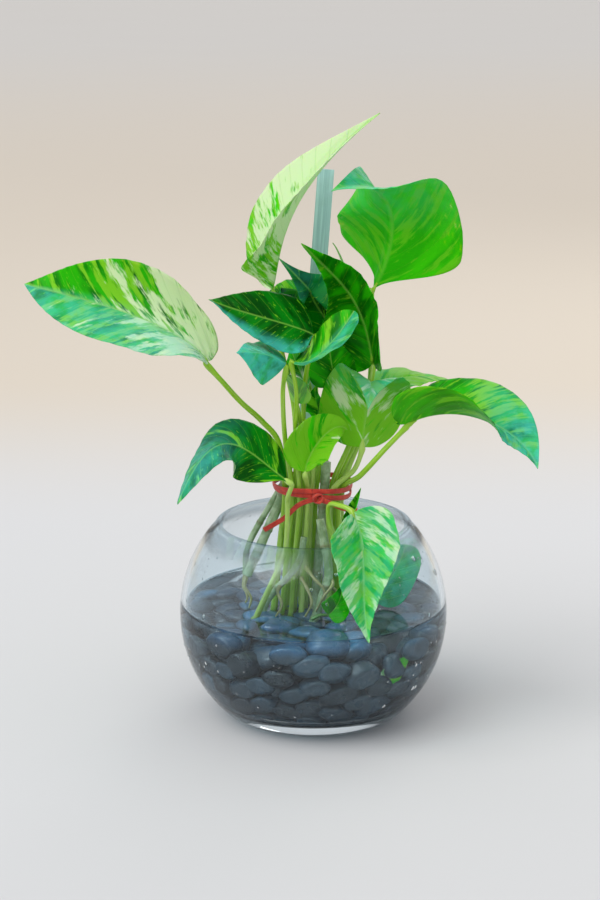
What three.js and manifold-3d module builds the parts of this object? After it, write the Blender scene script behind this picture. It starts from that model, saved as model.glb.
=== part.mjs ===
// Variegated pothos cuttings in a round glass bowl of water and river pebbles.
// Millimetres, +Z up. The origin is the centre of the bowl's flat foot.

import * as THREE from 'three';
import { mergeVertices } from 'three/addons/utils/BufferGeometryUtils.js';
import Module from 'manifold-3d';

const wasm = await Module();
wasm.setup();

// ---- driving dimensions ------------------------------------------------------------

const BOWL_RADIUS = 65;
const BOWL_CENTRE_Z = 50.8;
const WALL = 2.6;
const RIM_Z = 95.2;
const FOOT_RADIUS = 36.3;
const BASE_GLASS = 8;
const GAP = 0.35;
const ROD_GAP = 0.9;
const BOWL_SIDES = 36;

const WATER_Z = 56;
const BED_Z = 49;
const BED_FOOT_Z = 12;
const PEBBLE = [10.5, 7.5, 5];
const PEBBLE_RINGS = [
  { radius: 49, lift: 0, angles: [5, 38, 70, 102, 135, 167, 195, 240, 272, 305, 335] },
  { radius: 31, lift: 1, angles: [25, 75, 125, 170] },
];

const LEAF_THICKNESS = 0.9;
const LEAF_ROWS = 9;
const PETIOLE_RADIUS = 1.25;
const STRAND_FOOT_Z = 30;
const BUNDLE_SPREAD = { x: 0.22, y: 0.2, shift: -3 };

const SLAT_WIDTH = 7.8;
const SLAT_THICKNESS = 1.6;
const SLAT_FOOT = [-12.4, 5, 22];
const SLAT_HEAD = [5.86, 21.69, 263.5];

const TIE_Z = 113;
const TIE_RING = { halfX: 18.2, halfY: 16.4, thick: 0.9, high: 2.8, tilt: 6, centreX: -0.5 };
const KNOT = { radius: 2.1, stretch: [1.3, 0.9, 1], place: [2, -18, 112.7] };
const RIBBON_WIDTH = 2.6;
const RIBBON_THICKNESS = 0.8;
const RIBBON_LEFT = [[1.5, -18.4, 113], [-7, -21, 110.5], [-14, -24.5, 105], [-24, -26.5, 99.4]];
const RIBBON_RIGHT = [[2, -18.4, 112.5], [8, -20, 111], [14, -20, 108.5], [21, -19, 107]];

const FRAGMENT_POCKET = { half: [5.5, 15, 13], turn: -0.87, centre: [37.5, -43.5, 36.5] };

// ---- materials -------------------------------------------------------------------------

function finish(color, roughness) {
  return new THREE.MeshStandardMaterial({ color, roughness, metalness: 0 });
}

const GLASS = finish(0xdde8e6, 0.03);
const WATER = finish(0xc9dde0, 0.02);
const STONE = finish(0x3a4656, 0.35);
const LEAF = finish(0x3d9a2c, 0.35);
const STALK = finish(0x9cc93c, 0.45);
const VINE = finish(0xa9b98a, 0.6);
const RIBBON = finish(0xd8382a, 0.5);
const SLAT = finish(0x8fa6b2, 0.5);

const plant = new THREE.Group();

function place(name, geometry, material) {
  const mesh = new THREE.Mesh(geometry, material);
  mesh.name = name;
  plant.add(mesh);
}

// ---- solids and booleans -----------------------------------------------------------------

function toSolid(geometry) {
  const bare = geometry.clone();
  bare.deleteAttribute('normal');
  bare.deleteAttribute('uv');
  const merged = mergeVertices(bare, 1e-4);
  return new wasm.Manifold(new wasm.Mesh({
    numProp: 3,
    vertProperties: new Float32Array(merged.attributes.position.array),
    triVerts: new Uint32Array(merged.index.array),
  }));
}

function toGeometry(solid) {
  const mesh = solid.getMesh();
  const geometry = new THREE.BufferGeometry();
  geometry.setAttribute('position', new THREE.BufferAttribute(mesh.vertProperties, 3));
  geometry.setIndex(new THREE.BufferAttribute(mesh.triVerts, 1));
  geometry.computeVertexNormals();
  return geometry;
}

function vec(point) {
  return new THREE.Vector3(...point);
}

function mix(a, b, t) {
  return a + (b - a) * t;
}

// A round strand that follows a smooth curve through its points.
function strand(points, radius, steps = 9, sides = 6) {
  const path = new THREE.CatmullRomCurve3(points.map(vec), false, 'centripetal');
  const section = new THREE.Shape();
  for (let i = 0; i < sides; i += 1) {
    const angle = (2 * Math.PI * i) / sides;
    const corner = [radius * Math.cos(angle), radius * Math.sin(angle)];
    if (i === 0) section.moveTo(...corner);
    else section.lineTo(...corner);
  }
  section.closePath();
  return new THREE.ExtrudeGeometry(section, { steps, bevelEnabled: false, extrudePath: path });
}

// ---- the glass bowl -----------------------------------------------------------------------

function sphereRadiusAt(z, radius) {
  return Math.sqrt(radius * radius - (z - BOWL_CENTRE_Z) ** 2);
}

function bowlProfile() {
  const inner = BOWL_RADIUS - WALL;
  const points = [new THREE.Vector2(0, 0), new THREE.Vector2(FOOT_RADIUS, 0)];
  for (let i = 0; i <= 12; i += 1) {
    const z = mix(3, RIM_Z, i / 12);
    points.push(new THREE.Vector2(sphereRadiusAt(z, BOWL_RADIUS), z));
  }
  const lipOuter = sphereRadiusAt(RIM_Z, BOWL_RADIUS);
  const lipInner = sphereRadiusAt(RIM_Z, inner);
  points.push(new THREE.Vector2(mix(lipInner, lipOuter, 0.8), RIM_Z + 1.1));
  points.push(new THREE.Vector2(mix(lipInner, lipOuter, 0.5), RIM_Z + 1.4));
  points.push(new THREE.Vector2(mix(lipInner, lipOuter, 0.2), RIM_Z + 1.1));
  for (let i = 0; i <= 11; i += 1) {
    const z = mix(RIM_Z, 14, i / 11);
    points.push(new THREE.Vector2(sphereRadiusAt(z, inner), z));
  }
  points.push(new THREE.Vector2(40, BASE_GLASS + 1.6));
  points.push(new THREE.Vector2(0, BASE_GLASS));
  return points;
}

function makeBowl() {
  const bowl = new THREE.LatheGeometry(bowlProfile(), BOWL_SIDES);
  bowl.rotateX(Math.PI / 2);
  place('glass_bowl', bowl, GLASS);
}

// ---- leaves ------------------------------------------------------------------------------------

// Flat outline of one half: along = share of the length, out = share of the half width.
function halfOutline(u, lobe, blunt = 0) {
  const round = new THREE.CubicBezierCurve(
    new THREE.Vector2(0, 0),
    new THREE.Vector2(-0.9 * lobe, 0.05),
    new THREE.Vector2(-1.25 * lobe, 1),
    new THREE.Vector2(0.27, 1),
  );
  const taper = new THREE.CubicBezierCurve(
    new THREE.Vector2(0.27, 1),
    new THREE.Vector2(0.62, 1),
    new THREE.Vector2(0.8 + 0.16 * blunt, 0.22 + 0.6 * blunt),
    new THREE.Vector2(1, 0),
  );
  return u < 0.5 ? round.getPoint(2 * u) : taper.getPoint(2 * u - 1);
}

// The surface frame at a share t of the midrib: place, forward, up and side.
function midribFrame(leaf, t) {
  const inside = Math.min(Math.max(t, 0), 1);
  const [base, rise, reach, tip] = leaf.midrib.map(vec);
  const curve = new THREE.CubicBezierCurve3(base, rise, reach, tip);
  const forward = curve.getTangent(inside);
  const origin = curve.getPoint(inside).addScaledVector(forward, Math.min(t, 0) * leaf.length);
  const up = vec(leaf.face[0]).lerp(vec(leaf.face[1]), inside);
  up.addScaledVector(forward, -up.dot(forward)).normalize();
  const side = new THREE.Vector3().crossVectors(forward, up);
  return { origin, forward, up, side };
}

// A point of the blade. across runs from -1, the left margin, to 1, the right one.
function bladePoint(leaf, u, across, lift) {
  const flat = halfOutline(u, leaf.lobe, leaf.blunt);
  const share = Math.abs(across);
  const along = mix(u ** 1.5, flat.x, share);
  const { origin, up, side } = midribFrame(leaf, along);
  const which = across > 0 ? 0 : 1;
  const grow = Math.min(Math.max(along, 0), 1);
  const fold = mix(leaf.fold[which][0], leaf.fold[which][1], grow);
  const reach = flat.y * share;
  const angle = THREE.MathUtils.degToRad(fold + 0.5 * leaf.cup[which] * reach);
  const sign = across < 0 ? -1 : 1;
  const width = leaf.half * reach;
  return origin
    .addScaledVector(side, sign * width * Math.cos(angle) - sign * lift * Math.sin(angle))
    .addScaledVector(up, width * Math.sin(angle) + lift * Math.cos(angle));
}

// A thin closed blade: an upper and a lower sheet that meet in a narrow edge.
function bladeGeometry(leaf) {
  const columns = [-1, -0.5, 0, 0.5, 1];
  const positions = [];
  const indices = [];
  const half = LEAF_THICKNESS / 2;
  const rows = LEAF_ROWS;
  for (const lift of [half, -half]) {
    for (let row = 0; row <= rows; row += 1) {
      const u = mix(0.04, 0.97, row / rows);
      for (const across of columns) {
        positions.push(...bladePoint(leaf, u, across, lift).toArray());
      }
    }
  }
  const wide = columns.length;
  const sheet = (rows + 1) * wide;
  const quad = (a, b, c, d) => indices.push(a, b, c, a, c, d);
  for (let row = 0; row < rows; row += 1) {
    for (let col = 0; col + 1 < wide; col += 1) {
      const a = row * wide + col;
      quad(a, a + 1, a + wide + 1, a + wide);
      quad(sheet + a, sheet + a + wide, sheet + a + wide + 1, sheet + a + 1);
    }
    const left = row * wide;
    const right = left + wide - 1;
    quad(left, left + wide, sheet + left + wide, sheet + left);
    quad(right, sheet + right, sheet + right + wide, right + wide);
  }
  for (let col = 0; col + 1 < wide; col += 1) {
    const last = rows * wide + col;
    quad(col, sheet + col, sheet + col + 1, col + 1);
    quad(last, last + 1, sheet + last + 1, sheet + last);
  }
  const geometry = new THREE.BufferGeometry();
  geometry.setAttribute('position', new THREE.Float32BufferAttribute(positions, 3));
  geometry.setIndex(indices);
  geometry.computeVertexNormals();
  return geometry;
}

// Each leaf: the four handles of its midrib, which way its upper face looks at the base and at
// the tip, its half width, its [base, tip] fold angles and cup for the right and left half,
// how far its lobes reach behind the stalk, and the places its stalk passes on the way down.
// blunt, where it is given, rounds the tip off: 0 is a drawn point and 1 is a round end.
const LEAVES = {
  far_left: {
    midrib: [[-50, -18, 180], [-65, -15, 200], [-117, -36, 215], [-134, -18, 216]],
    face: [[0.3, -0.2, 0.9], [0, -0.6, 0.8]],
    half: 32, fold: [[-14, 19], [22, -19]], cup: [40, 0], lobe: 0.04,
    stalk: [[-43, -17, 169.5], [-34.6, -11, 158.3], [-24.3, -5, 147], [-16.4, -5, 136]],
    tie: [-13.6, -7.5],
  },
  tall: {
    midrib: [[-20, 2, 209], [-15, 9, 221], [-21, 0, 252], [31, 1, 293]],
    face: [[-1, -0.1, 0.1], [-0.9, -0.4, 0.2]],
    half: 27, fold: [[66, 28], [17, 48]], cup: [-24, -4], lobe: -0.05,
    stalk: [[-18.5, 4, 195], [-15, 3, 178], [-9, 2, 150]],
    tie: [-8.5, -3.5],
  },
  top_right: {
    midrib: [[28, 7, 208], [42, 10, 232], [42, 16, 266], [7.5, -12, 258]],
    face: [[0.1, 0.98, -0.1], [-0.4, -0.4, 0.8]],
    half: 35, fold: [[58, 46], [5, -10]], cup: [0, 0], lobe: -0.15,
    stalk: [[28, 13, 180], [26, 16, 150], [19, 10, 128]],
    tie: [12, 4.5],
  },
  dark_high: {
    midrib: [[28, 6, 174], [23, 9, 207], [13, 4, 211], [-6, -13, 234]],
    face: [[-0.4, -0.9, 0.3], [-0.2, -0.8, 0.6]],
    half: 23, fold: [[43, 46], [12, 50]], cup: [34, 7], lobe: 0.1,
    stalk: [[26, 0, 160], [17, -3, 135]],
    tie: [8.5, -3.5],
  },
  dark_back: {
    midrib: [[12, 14, 184], [-14, 13, 220], [12, 7, 194], [-17, 2, 225]],
    face: [[-0.2, -0.8, 0.5], [-0.2, -0.8, 0.6]],
    half: 17, fold: [[14, 11], [19, 28]], cup: [0, 0], lobe: 0.1,
    stalk: [[11, 11, 160]],
    tie: [4.5, 5.5],
  },
  cupped: {
    midrib: [[0, -10, 190], [-7, -13, 195.5], [-38, -19, 203], [-48, -35, 212]],
    face: [[0.1, -0.7, 0.7], [-0.4, -0.7, 0.6]],
    half: 17.5, fold: [[-4, -6], [12, -7]], cup: [0, 12], lobe: -0.08,
    stalk: [[-4, -6, 168], [-5, -3, 142]],
    tie: [-5, 0.8],
  },
  front_teal: {
    midrib: [[-13, -27, 180], [-20, -30, 186], [-28, -36, 188], [-35.5, -41, 188.3]],
    face: [[-0.2, -0.55, 0.8], [-0.4, -0.8, 0.5]],
    half: 14, fold: [[-26, -26], [-50, -40]], cup: [0, 0], lobe: 0.02,
    stalk: [[-14.5, -21, 165], [-13.5, -13.5, 140]],
    tie: [-10.2, -11.5],
  },
  raised: {
    midrib: [[-8.6, -27, 181], [-1, -28, 178], [11, -27, 192], [18.5, -22, 204]],
    face: [[-0.4, -0.3, 0.9], [-0.2, -0.5, 0.85]],
    half: 13.5, fold: [[22, 8], [0, 16]], cup: [20, -20], lobe: 0.02, blunt: 1,
    stalk: [[-8.2, -20.5, 165], [-8.6, -13.5, 140]],
    tie: [-6.6, -13.2],
  },
  upright_small: {
    midrib: [[10, 1, 165], [9, -2, 173], [6, 1, 183], [8, -2, 191]],
    face: [[0.1, -1, 0.2], [0, -1, 0.1]],
    half: 12, fold: [[18, 18], [10, 10]], cup: [17, 0], lobe: 0.1,
    stalk: [[8, 4, 155], [6, 3, 138]],
    tie: [1.5, 0.5],
  },
  broad: {
    midrib: [[23, -9, 136], [25, -7, 160], [29, -9, 183], [25, -27, 158]],
    face: [[0, 0.97, 0.2], [0.2, -0.8, 0.5]],
    half: 23, fold: [[16, 10], [34, 24]], cup: [0, 0], lobe: 0.03,
    stalk: [[19, -12, 125]],
    tie: [8, -12.4],
  },
  right_arch: {
    midrib: [[44, -23, 151], [69, -21, 163], [98, -13, 146], [104, -35, 132]],
    face: [[-0.1, 0.1, 1], [0.4, -0.8, 0.5]],
    half: 25, fold: [[48, 16], [10, 29]], cup: [10, 0], lobe: 0.12,
    stalk: [[33.6, -21, 138], [22, -16, 123.5]],
    tie: [12.4, -7.8],
  },
  right_back: {
    midrib: [[31, 16, 157], [42, 17, 167], [55, 27, 163], [71, 19, 160]],
    face: [[-0.1, 0.3, 1], [-0.2, 0.4, 0.9]],
    half: 17, fold: [[-26, -20], [46, 14]], cup: [0, -20], lobe: 0.1,
    stalk: [[24, 9, 138]],
    tie: [14, -1],
  },
  left_drooping: {
    midrib: [[-11.6, -33, 125], [-32, -25.3, 137.6], [-44.3, -34.5, 163.1], [-63, -50, 118.8]],
    face: [[0, -0.85, 0.5], [-0.7, -0.6, 0.3]],
    half: 16.5, fold: [[-42, -25], [50, -10]], cup: [0, 0], lobe: -0.07, blunt: 0.6,
    stalk: [[-12.2, -30.2, 117]],
    tie: [-12.4, -28.2],
    foot: [[-12.6, -28.2, 100], [-14.5, -26.5, 86], [-24.5, -24, 62], [-31, -22, 46]],
  },
  pale_middle: {
    midrib: [[-4, -17, 126], [-3, -9, 134], [10, -20, 154], [16, -10, 144]],
    face: [[-0.1, -1, 0.3], [-0.1, -0.9, 0.3]],
    half: 15, fold: [[40, 30], [30, 16]], cup: [30, 20], lobe: 0.06,
    stalk: [[-3.2, -14.2, 119]],
    tie: [-2.6, -13.2],
  },
  pale_hanging: {
    midrib: [[-7, -13, 158], [-7, -12, 164], [-10, -11, 170], [-13, -15, 173]],
    face: [[0.4, 0.7, 0.6], [0.4, 0.7, 0.6]],
    half: 9, fold: [[20, 15], [-5, 0]], cup: [10, -10], lobe: 0.04,
    stalk: [[-6, -12, 144]],
    tie: [-5.5, -9],
  },
  left_of_broad: {
    midrib: [[1, 1, 147], [5, 4, 151], [-2, 4, 156], [2, 2, 164]],
    face: [[-0.4, -0.9, 0.2], [-0.3, -0.9, 0.1]],
    half: 6, fold: [[19, 25], [8, 19]], cup: [0, 0], lobe: 0.05,
    stalk: [[1, -5, 135]],
    tie: [-1, -9],
  },
  behind_broad: {
    midrib: [[23, 10, 153], [22, 13, 160], [17, 12, 164], [20, 9, 168]],
    face: [[-0.1, -0.9, 0.4], [-0.1, -0.9, 0.4]],
    half: 8, fold: [[50, 24], [50, 22]], cup: [20, 20], lobe: 0.04,
    stalk: [[20, 3, 135]],
    tie: [10.5, 0.5],
  },
  inner_strip: {
    midrib: [[-4, 9, 162], [-6, 2, 170], [-10, 5, 176], [-11, 13, 180]],
    face: [[-0.8, -0.6, 0.3], [-0.8, -0.6, 0.3]],
    half: 9, fold: [[20, 5], [15, 9]], cup: [-15, 0], lobe: 0.04,
    stalk: [[0, 6, 140]],
    tie: [-3, -4],
  },
  back_left: {
    midrib: [[-4, 27, 192], [-11, 24, 202], [-20, 25, 202], [-26, 30, 198]],
    face: [[0.2, -0.6, 0.7], [0.2, -0.6, 0.7]],
    half: 17, fold: [[0, 0], [10, 10]], cup: [-15, 0], lobe: 0.1,
    stalk: [[1, 20, 160]],
    tie: [1.2, 12.8],
  },
  front_hanging: {
    midrib: [[18, -45, 113], [26, -47, 98], [20, -60, 80], [25, -74, 60]],
    face: [[0.1, -0.9, 0.3], [-0.1, -1, 0]],
    half: 22.5, fold: [[34, 36], [26, 44]], cup: [30, 25], lobe: 0.03,
    stalk: [[13.4, -40, 115.2]],
    tie: [7.5, -30],
    foot: [[7.5, -25.5, 103], [12.5, -22, 84], [14, -21, 60], [14, -21, 46]],
  },
  rolled: {
    midrib: [[15, -27, 100], [18, -28, 108], [20, -28, 114], [22, -28, 121]],
    face: [[-0.3, -0.9, 0.2], [-0.3, -0.9, 0.2]],
    half: 5, fold: [[60, 50], [55, 50]], cup: [20, 20], lobe: 0,
  },
  inside_right: {
    midrib: [[30, -10, 59], [37, -10, 70], [43.5, -8, 81], [44, -5, 86]],
    face: [[-0.1, -0.95, 0.3], [-0.1, -0.95, 0.3]],
    half: 11.5, fold: [[8, 8], [8, 8]], cup: [0, 0], lobe: 0.02, blunt: 1,
  },
  low_centre: {
    midrib: [[7, -34.5, 60.5], [10, -35.5, 63], [14, -35.5, 69], [13, -34.5, 77]],
    face: [[0.1, -0.9, 0.3], [0.1, -0.9, 0.3]],
    half: 7, fold: [[15, 15], [20, 20]], cup: [0, 0], lobe: 0.03,
  },
};

function prepareLeaf(leaf) {
  const [base, rise, reach, tip] = leaf.midrib.map(vec);
  leaf.length = new THREE.CubicBezierCurve3(base, rise, reach, tip).getLength();
}

function makeLeaves() {
  for (const [name, leaf] of Object.entries(LEAVES)) {
    prepareLeaf(leaf);
    place(`leaf_${name}`, bladeGeometry(leaf), LEAF);
  }
}

// ---- leaf stalks ---------------------------------------------------------------------------------

// A stalk's place at a height below the tie, where the bundle opens out towards the pebbles.
function bundleSpot([x, y], z) {
  const share = (TIE_Z - z) / (TIE_Z - BED_Z);
  const outX = 1 + BUNDLE_SPREAD.x * share;
  const outY = 1 + BUNDLE_SPREAD.y * share;
  return [x * outX + BUNDLE_SPREAD.shift * share, y * outY, z];
}

function stalkPoints(leaf) {
  const { origin, forward, up } = midribFrame(leaf, 0);
  const top = origin.addScaledVector(forward, -1.8).addScaledVector(up, -1.5).toArray();
  const tie = [...leaf.tie, TIE_Z];
  const foot = leaf.foot ?? [bundleSpot(leaf.tie, 85), bundleSpot(leaf.tie, STRAND_FOOT_Z)];
  return [top, ...leaf.stalk, tie, ...foot];
}

const stalks = {};
for (const [name, leaf] of Object.entries(LEAVES)) {
  if (leaf.tie) {
    prepareLeaf(leaf);
    stalks[`petiole_${name}`] = { points: stalkPoints(leaf), radius: PETIOLE_RADIUS };
  }
}

// ---- vine stems, roots and the support slat ---------------------------------------------------

const vines = {
  stem_left: {
    points: [[-13, -1.5, 122], [-15.2, -3.5, 110], [-25, -5.5, 87], [-32, -7, 71]], radius: 2.2,
  },
  stem_left_thin: {
    points: [[-10.5, 3, 125], [-15.5, 3, 113], [-31, 2, 85], [-33, 1, 69]], radius: 1.5,
  },
  stem_front: {
    points: [[3, -18.8, 103], [5, -20.8, 92], [7, -24, 77], [2.5, -26, 62], [-2, -27, 46]],
    radius: 2.1,
  },
  stem_centre: {
    points: [[6, -8, 128], [5, -8.5, 113], [1, -11, 62], [0.5, -11, 30]], radius: 2.1,
  },
  stem_side: {
    points: [[-4.5, -19, 94], [-8, -20, 80], [-22, -18.5, 62], [-25, -18, 46]], radius: 1.6,
  },
  root_green: {
    points: [[-1, -32.5, 57.5], [3, -32, 59.3], [8, -31, 58.8], [14, -30, 57.5]], radius: 0.9,
  },
  shoot_tip: {
    points: [[15, 18, 212], [14, 18, 219], [11, 18, 226], [9, 18, 229]], radius: 0.6,
  },
};

function slatGeometry(grow) {
  const foot = vec(SLAT_FOOT);
  const head = vec(SLAT_HEAD);
  const section = new THREE.Shape();
  const wide = SLAT_WIDTH / 2 + grow;
  const thick = SLAT_THICKNESS / 2 + grow;
  section.moveTo(-thick, -wide);
  section.lineTo(thick, -wide);
  section.lineTo(thick, wide);
  section.lineTo(-thick, wide);
  section.closePath();
  const slat = new THREE.ExtrudeGeometry(section, { depth: foot.distanceTo(head), bevelEnabled: false });
  slat.rotateZ(Math.PI / 2);
  slat.rotateX(-Math.atan2(head.y - foot.y, head.z - foot.z));
  slat.rotateY(Math.atan2(head.x - foot.x, head.z - foot.z));
  slat.translate(...foot.toArray());
  return slat;
}

function makeStrands() {
  for (const [name, { points, radius }] of Object.entries(stalks)) {
    place(name, strand(points, radius, 2 * points.length - 1), STALK);
  }
  for (const [name, { points, radius }] of Object.entries(vines)) {
    place(name, strand(points, radius, 2 * points.length, 7), VINE);
  }
  place('support_slat', slatGeometry(0), SLAT);
}

// ---- the red tie -------------------------------------------------------------------------------------

function ringGeometry({ halfX, halfY, thick, high, tilt, centreX }) {
  const band = new THREE.LatheGeometry([
    new THREE.Vector2(1, -high / 2),
    new THREE.Vector2(1 + thick / halfX, -high / 2),
    new THREE.Vector2(1 + thick / halfX, high / 2),
    new THREE.Vector2(1, high / 2),
    new THREE.Vector2(1, -high / 2),
  ], 28);
  band.rotateX(Math.PI / 2);
  band.scale(halfX, halfY, 1);
  band.rotateY(THREE.MathUtils.degToRad(tilt));
  band.translate(centreX, 0, TIE_Z);
  return band;
}

function ribbonEnd(points) {
  const path = new THREE.CatmullRomCurve3(points.map(vec), false, 'centripetal');
  const wide = RIBBON_WIDTH / 2;
  const thick = RIBBON_THICKNESS / 2;
  const section = new THREE.Shape();
  section.moveTo(-wide, -thick);
  section.lineTo(wide, -thick);
  section.lineTo(wide, thick);
  section.lineTo(-wide, thick);
  section.closePath();
  return new THREE.ExtrudeGeometry(section, { steps: 5, bevelEnabled: false, extrudePath: path });
}

function makeTie() {
  const knot = new THREE.SphereGeometry(KNOT.radius, 10, 6);
  knot.scale(...KNOT.stretch);
  knot.translate(...KNOT.place);
  const turn = toSolid(ringGeometry(TIE_RING)).add(toSolid(knot));
  const tails = toSolid(ribbonEnd(RIBBON_LEFT)).add(toSolid(ribbonEnd(RIBBON_RIGHT)));
  place('red_tie', toGeometry(turn.add(tails)), RIBBON);
}

// ---- pebbles and water ---------------------------------------------------------------------------------

// Pebbles that break the water, on two rings, with a clear channel of water between them.
function topPebbles() {
  const pebbles = [];
  for (const { radius, lift, angles } of PEBBLE_RINGS) {
    for (const degrees of angles) {
      const angle = THREE.MathUtils.degToRad(degrees);
      pebbles.push({
        x: radius * Math.cos(angle),
        y: radius * Math.sin(angle),
        z: 50.8 + 0.6 * lift + 1.3 * Math.sin(5 * angle + radius),
        turn: angle + 1.3 + 0.5 * Math.sin(3 * angle),
        tilt: 0.25 * Math.sin(7 * angle + lift),
        size: 0.92 + 0.12 * Math.sin(4 * angle + 2 * lift),
      });
    }
  }
  return pebbles;
}

function pebbleGeometry(pebble, grow) {
  const stone = new THREE.SphereGeometry(1, 10, 6);
  stone.scale(...PEBBLE.map((half) => half * pebble.size + grow));
  stone.rotateX(pebble.tilt);
  stone.rotateZ(pebble.turn);
  stone.translate(pebble.x, pebble.y, pebble.z);
  return stone;
}

// A solid of revolution that fills the bowl's inside from one height to another.
function bowlFilling(low, high, gap) {
  const inner = BOWL_RADIUS - WALL - gap;
  const points = [new THREE.Vector2(0, low), new THREE.Vector2(sphereRadiusAt(low, inner) - 5, low)];
  const rings = Math.max(2, Math.round((high - low) / 7));
  for (let i = 0; i <= rings; i += 1) {
    const z = mix(Math.min(low + 3, high - 1), high, i / rings);
    points.push(new THREE.Vector2(sphereRadiusAt(z, inner), z));
  }
  points.push(new THREE.Vector2(0, high));
  const filling = new THREE.LatheGeometry(points, BOWL_SIDES);
  filling.rotateX(Math.PI / 2);
  return toSolid(filling);
}

// The part of a strand below a height, as a plain straight rod a little thicker than the strand.
function pocketRod({ points, radius }) {
  const upper = vec(points.at(-2));
  const lower = vec(points.at(-1));
  if (lower.z > upper.z) return null;
  const down = lower.clone().sub(upper).normalize();
  const length = upper.distanceTo(lower) + 1;
  const rod = new THREE.CylinderGeometry(radius + ROD_GAP, radius + ROD_GAP, length, 6);
  rod.rotateX(Math.PI / 2);
  rod.lookAt(down);
  rod.translate(...upper.addScaledVector(down, length / 2).toArray());
  return toSolid(rod);
}

// The stalks grow down into the pebbles, each in a pocket of its own.
function cutStrands(solid) {
  let cut = solid.subtract(toSolid(slatGeometry(GAP)));
  for (const run of [...Object.values(stalks), ...Object.values(vines)]) {
    const rod = pocketRod(run);
    if (rod) cut = cut.subtract(rod);
  }
  return cut;
}

const FRAGMENT = {
  midrib: [[31, -47, 29], [34, -46, 34], [40, -42, 40], [44, -38, 43]],
  face: [[0.6, -0.8, 0.1], [0.75, -0.65, 0.1]],
  half: 6, fold: [[-10, -5], [-10, -5]], cup: [0, 0], lobe: 0,
};

function makeFragment() {
  prepareLeaf(FRAGMENT);
  place('leaf_fragment', bladeGeometry(FRAGMENT), LEAF);
}

function fragmentPocket() {
  const pocket = new THREE.SphereGeometry(1, 12, 8);
  pocket.scale(...FRAGMENT_POCKET.half);
  pocket.rotateZ(FRAGMENT_POCKET.turn);
  pocket.translate(...FRAGMENT_POCKET.centre);
  return toSolid(pocket);
}

function makeBed() {
  let bed = bowlFilling(BED_FOOT_Z, BED_Z, 0.5);
  for (const pebble of topPebbles()) {
    bed = bed.add(toSolid(pebbleGeometry(pebble, 0)));
  }
  place('pebble_bed', toGeometry(cutStrands(bed).subtract(fragmentPocket())), STONE);
}

function makeWater() {
  let water = bowlFilling(BED_Z + GAP, WATER_Z, GAP);
  for (const pebble of topPebbles()) {
    water = water.subtract(toSolid(pebbleGeometry(pebble, GAP)));
  }
  place('water', toGeometry(cutStrands(water)), WATER);
}

makeBowl();
makeBed();
makeWater();
makeStrands();
makeTie();
makeLeaves();
makeFragment();

export default plant;
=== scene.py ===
# %% [markdown]
# # A variegated pothos in a round glass bowl
# Cuttings of a marbled climbing plant stand in water and dark river pebbles. The bowl, the
# pebbles, each leaf and each stalk are built as separate meshes around a fixed frame, and
# every surface gets a procedural material. All lengths in the tables are millimetres.

# %% Load the fixed frame
import math

import bpy
import numpy as np
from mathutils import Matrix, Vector


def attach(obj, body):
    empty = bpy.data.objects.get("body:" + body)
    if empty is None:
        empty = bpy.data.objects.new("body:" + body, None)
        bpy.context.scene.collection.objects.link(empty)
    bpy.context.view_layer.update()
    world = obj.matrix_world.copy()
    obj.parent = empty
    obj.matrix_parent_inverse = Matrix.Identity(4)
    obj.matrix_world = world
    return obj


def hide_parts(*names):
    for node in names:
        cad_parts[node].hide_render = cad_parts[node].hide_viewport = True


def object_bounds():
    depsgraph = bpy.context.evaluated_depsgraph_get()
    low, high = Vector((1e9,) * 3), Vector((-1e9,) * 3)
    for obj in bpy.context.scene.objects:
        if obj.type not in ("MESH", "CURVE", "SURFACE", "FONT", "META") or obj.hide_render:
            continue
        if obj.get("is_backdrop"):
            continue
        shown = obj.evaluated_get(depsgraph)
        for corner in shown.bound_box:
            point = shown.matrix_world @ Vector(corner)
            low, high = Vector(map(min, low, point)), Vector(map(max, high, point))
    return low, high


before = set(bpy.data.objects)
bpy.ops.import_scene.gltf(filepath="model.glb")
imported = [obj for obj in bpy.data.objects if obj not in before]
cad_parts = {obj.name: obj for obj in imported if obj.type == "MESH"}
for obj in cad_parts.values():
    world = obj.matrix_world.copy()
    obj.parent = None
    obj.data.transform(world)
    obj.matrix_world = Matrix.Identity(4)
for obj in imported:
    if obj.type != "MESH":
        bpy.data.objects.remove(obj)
cad_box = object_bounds()
MM = 0.001
print("frame nodes:", len(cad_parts))

# %% [markdown]
# ## Camera
# The camera stands a little above the bowl and looks down at it by about fifteen degrees. A
# long lens keeps the leaves in proportion. The aim point is a little left of the bowl's axis, a
# little under half the height of the whole plant.

# %% Camera
CAMERA_TILT = math.radians(14.66)
CAMERA_DISTANCE = 1060.9
CAMERA_AIM = Vector((-6.5, 0, 131.8))
CAMERA_LENS = 88.6


def add_camera():
    forward = Vector((0, math.cos(CAMERA_TILT), -math.sin(CAMERA_TILT)))
    data = bpy.data.cameras.new("camera")
    data.sensor_width = 36
    data.lens = CAMERA_LENS
    data.clip_start, data.clip_end = 0.02, 60
    camera = bpy.data.objects.new("camera", data)
    camera.location = (CAMERA_AIM - forward * CAMERA_DISTANCE) * MM
    camera.rotation_mode = "QUATERNION"
    camera.rotation_quaternion = forward.to_track_quat("-Z", "Y")
    bpy.context.scene.collection.objects.link(camera)
    bpy.context.scene.camera = camera
    return camera


print("camera at", tuple(round(v, 3) for v in add_camera().location))

# %% [markdown]
# ## Mesh helpers
# Almost every piece here is a sheet or a tube laid out on a grid of points. One helper joins a
# grid with faces, one turns points and faces into a Blender object that rides on the body, and
# one sweeps a round or flat section along a smooth path.

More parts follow.
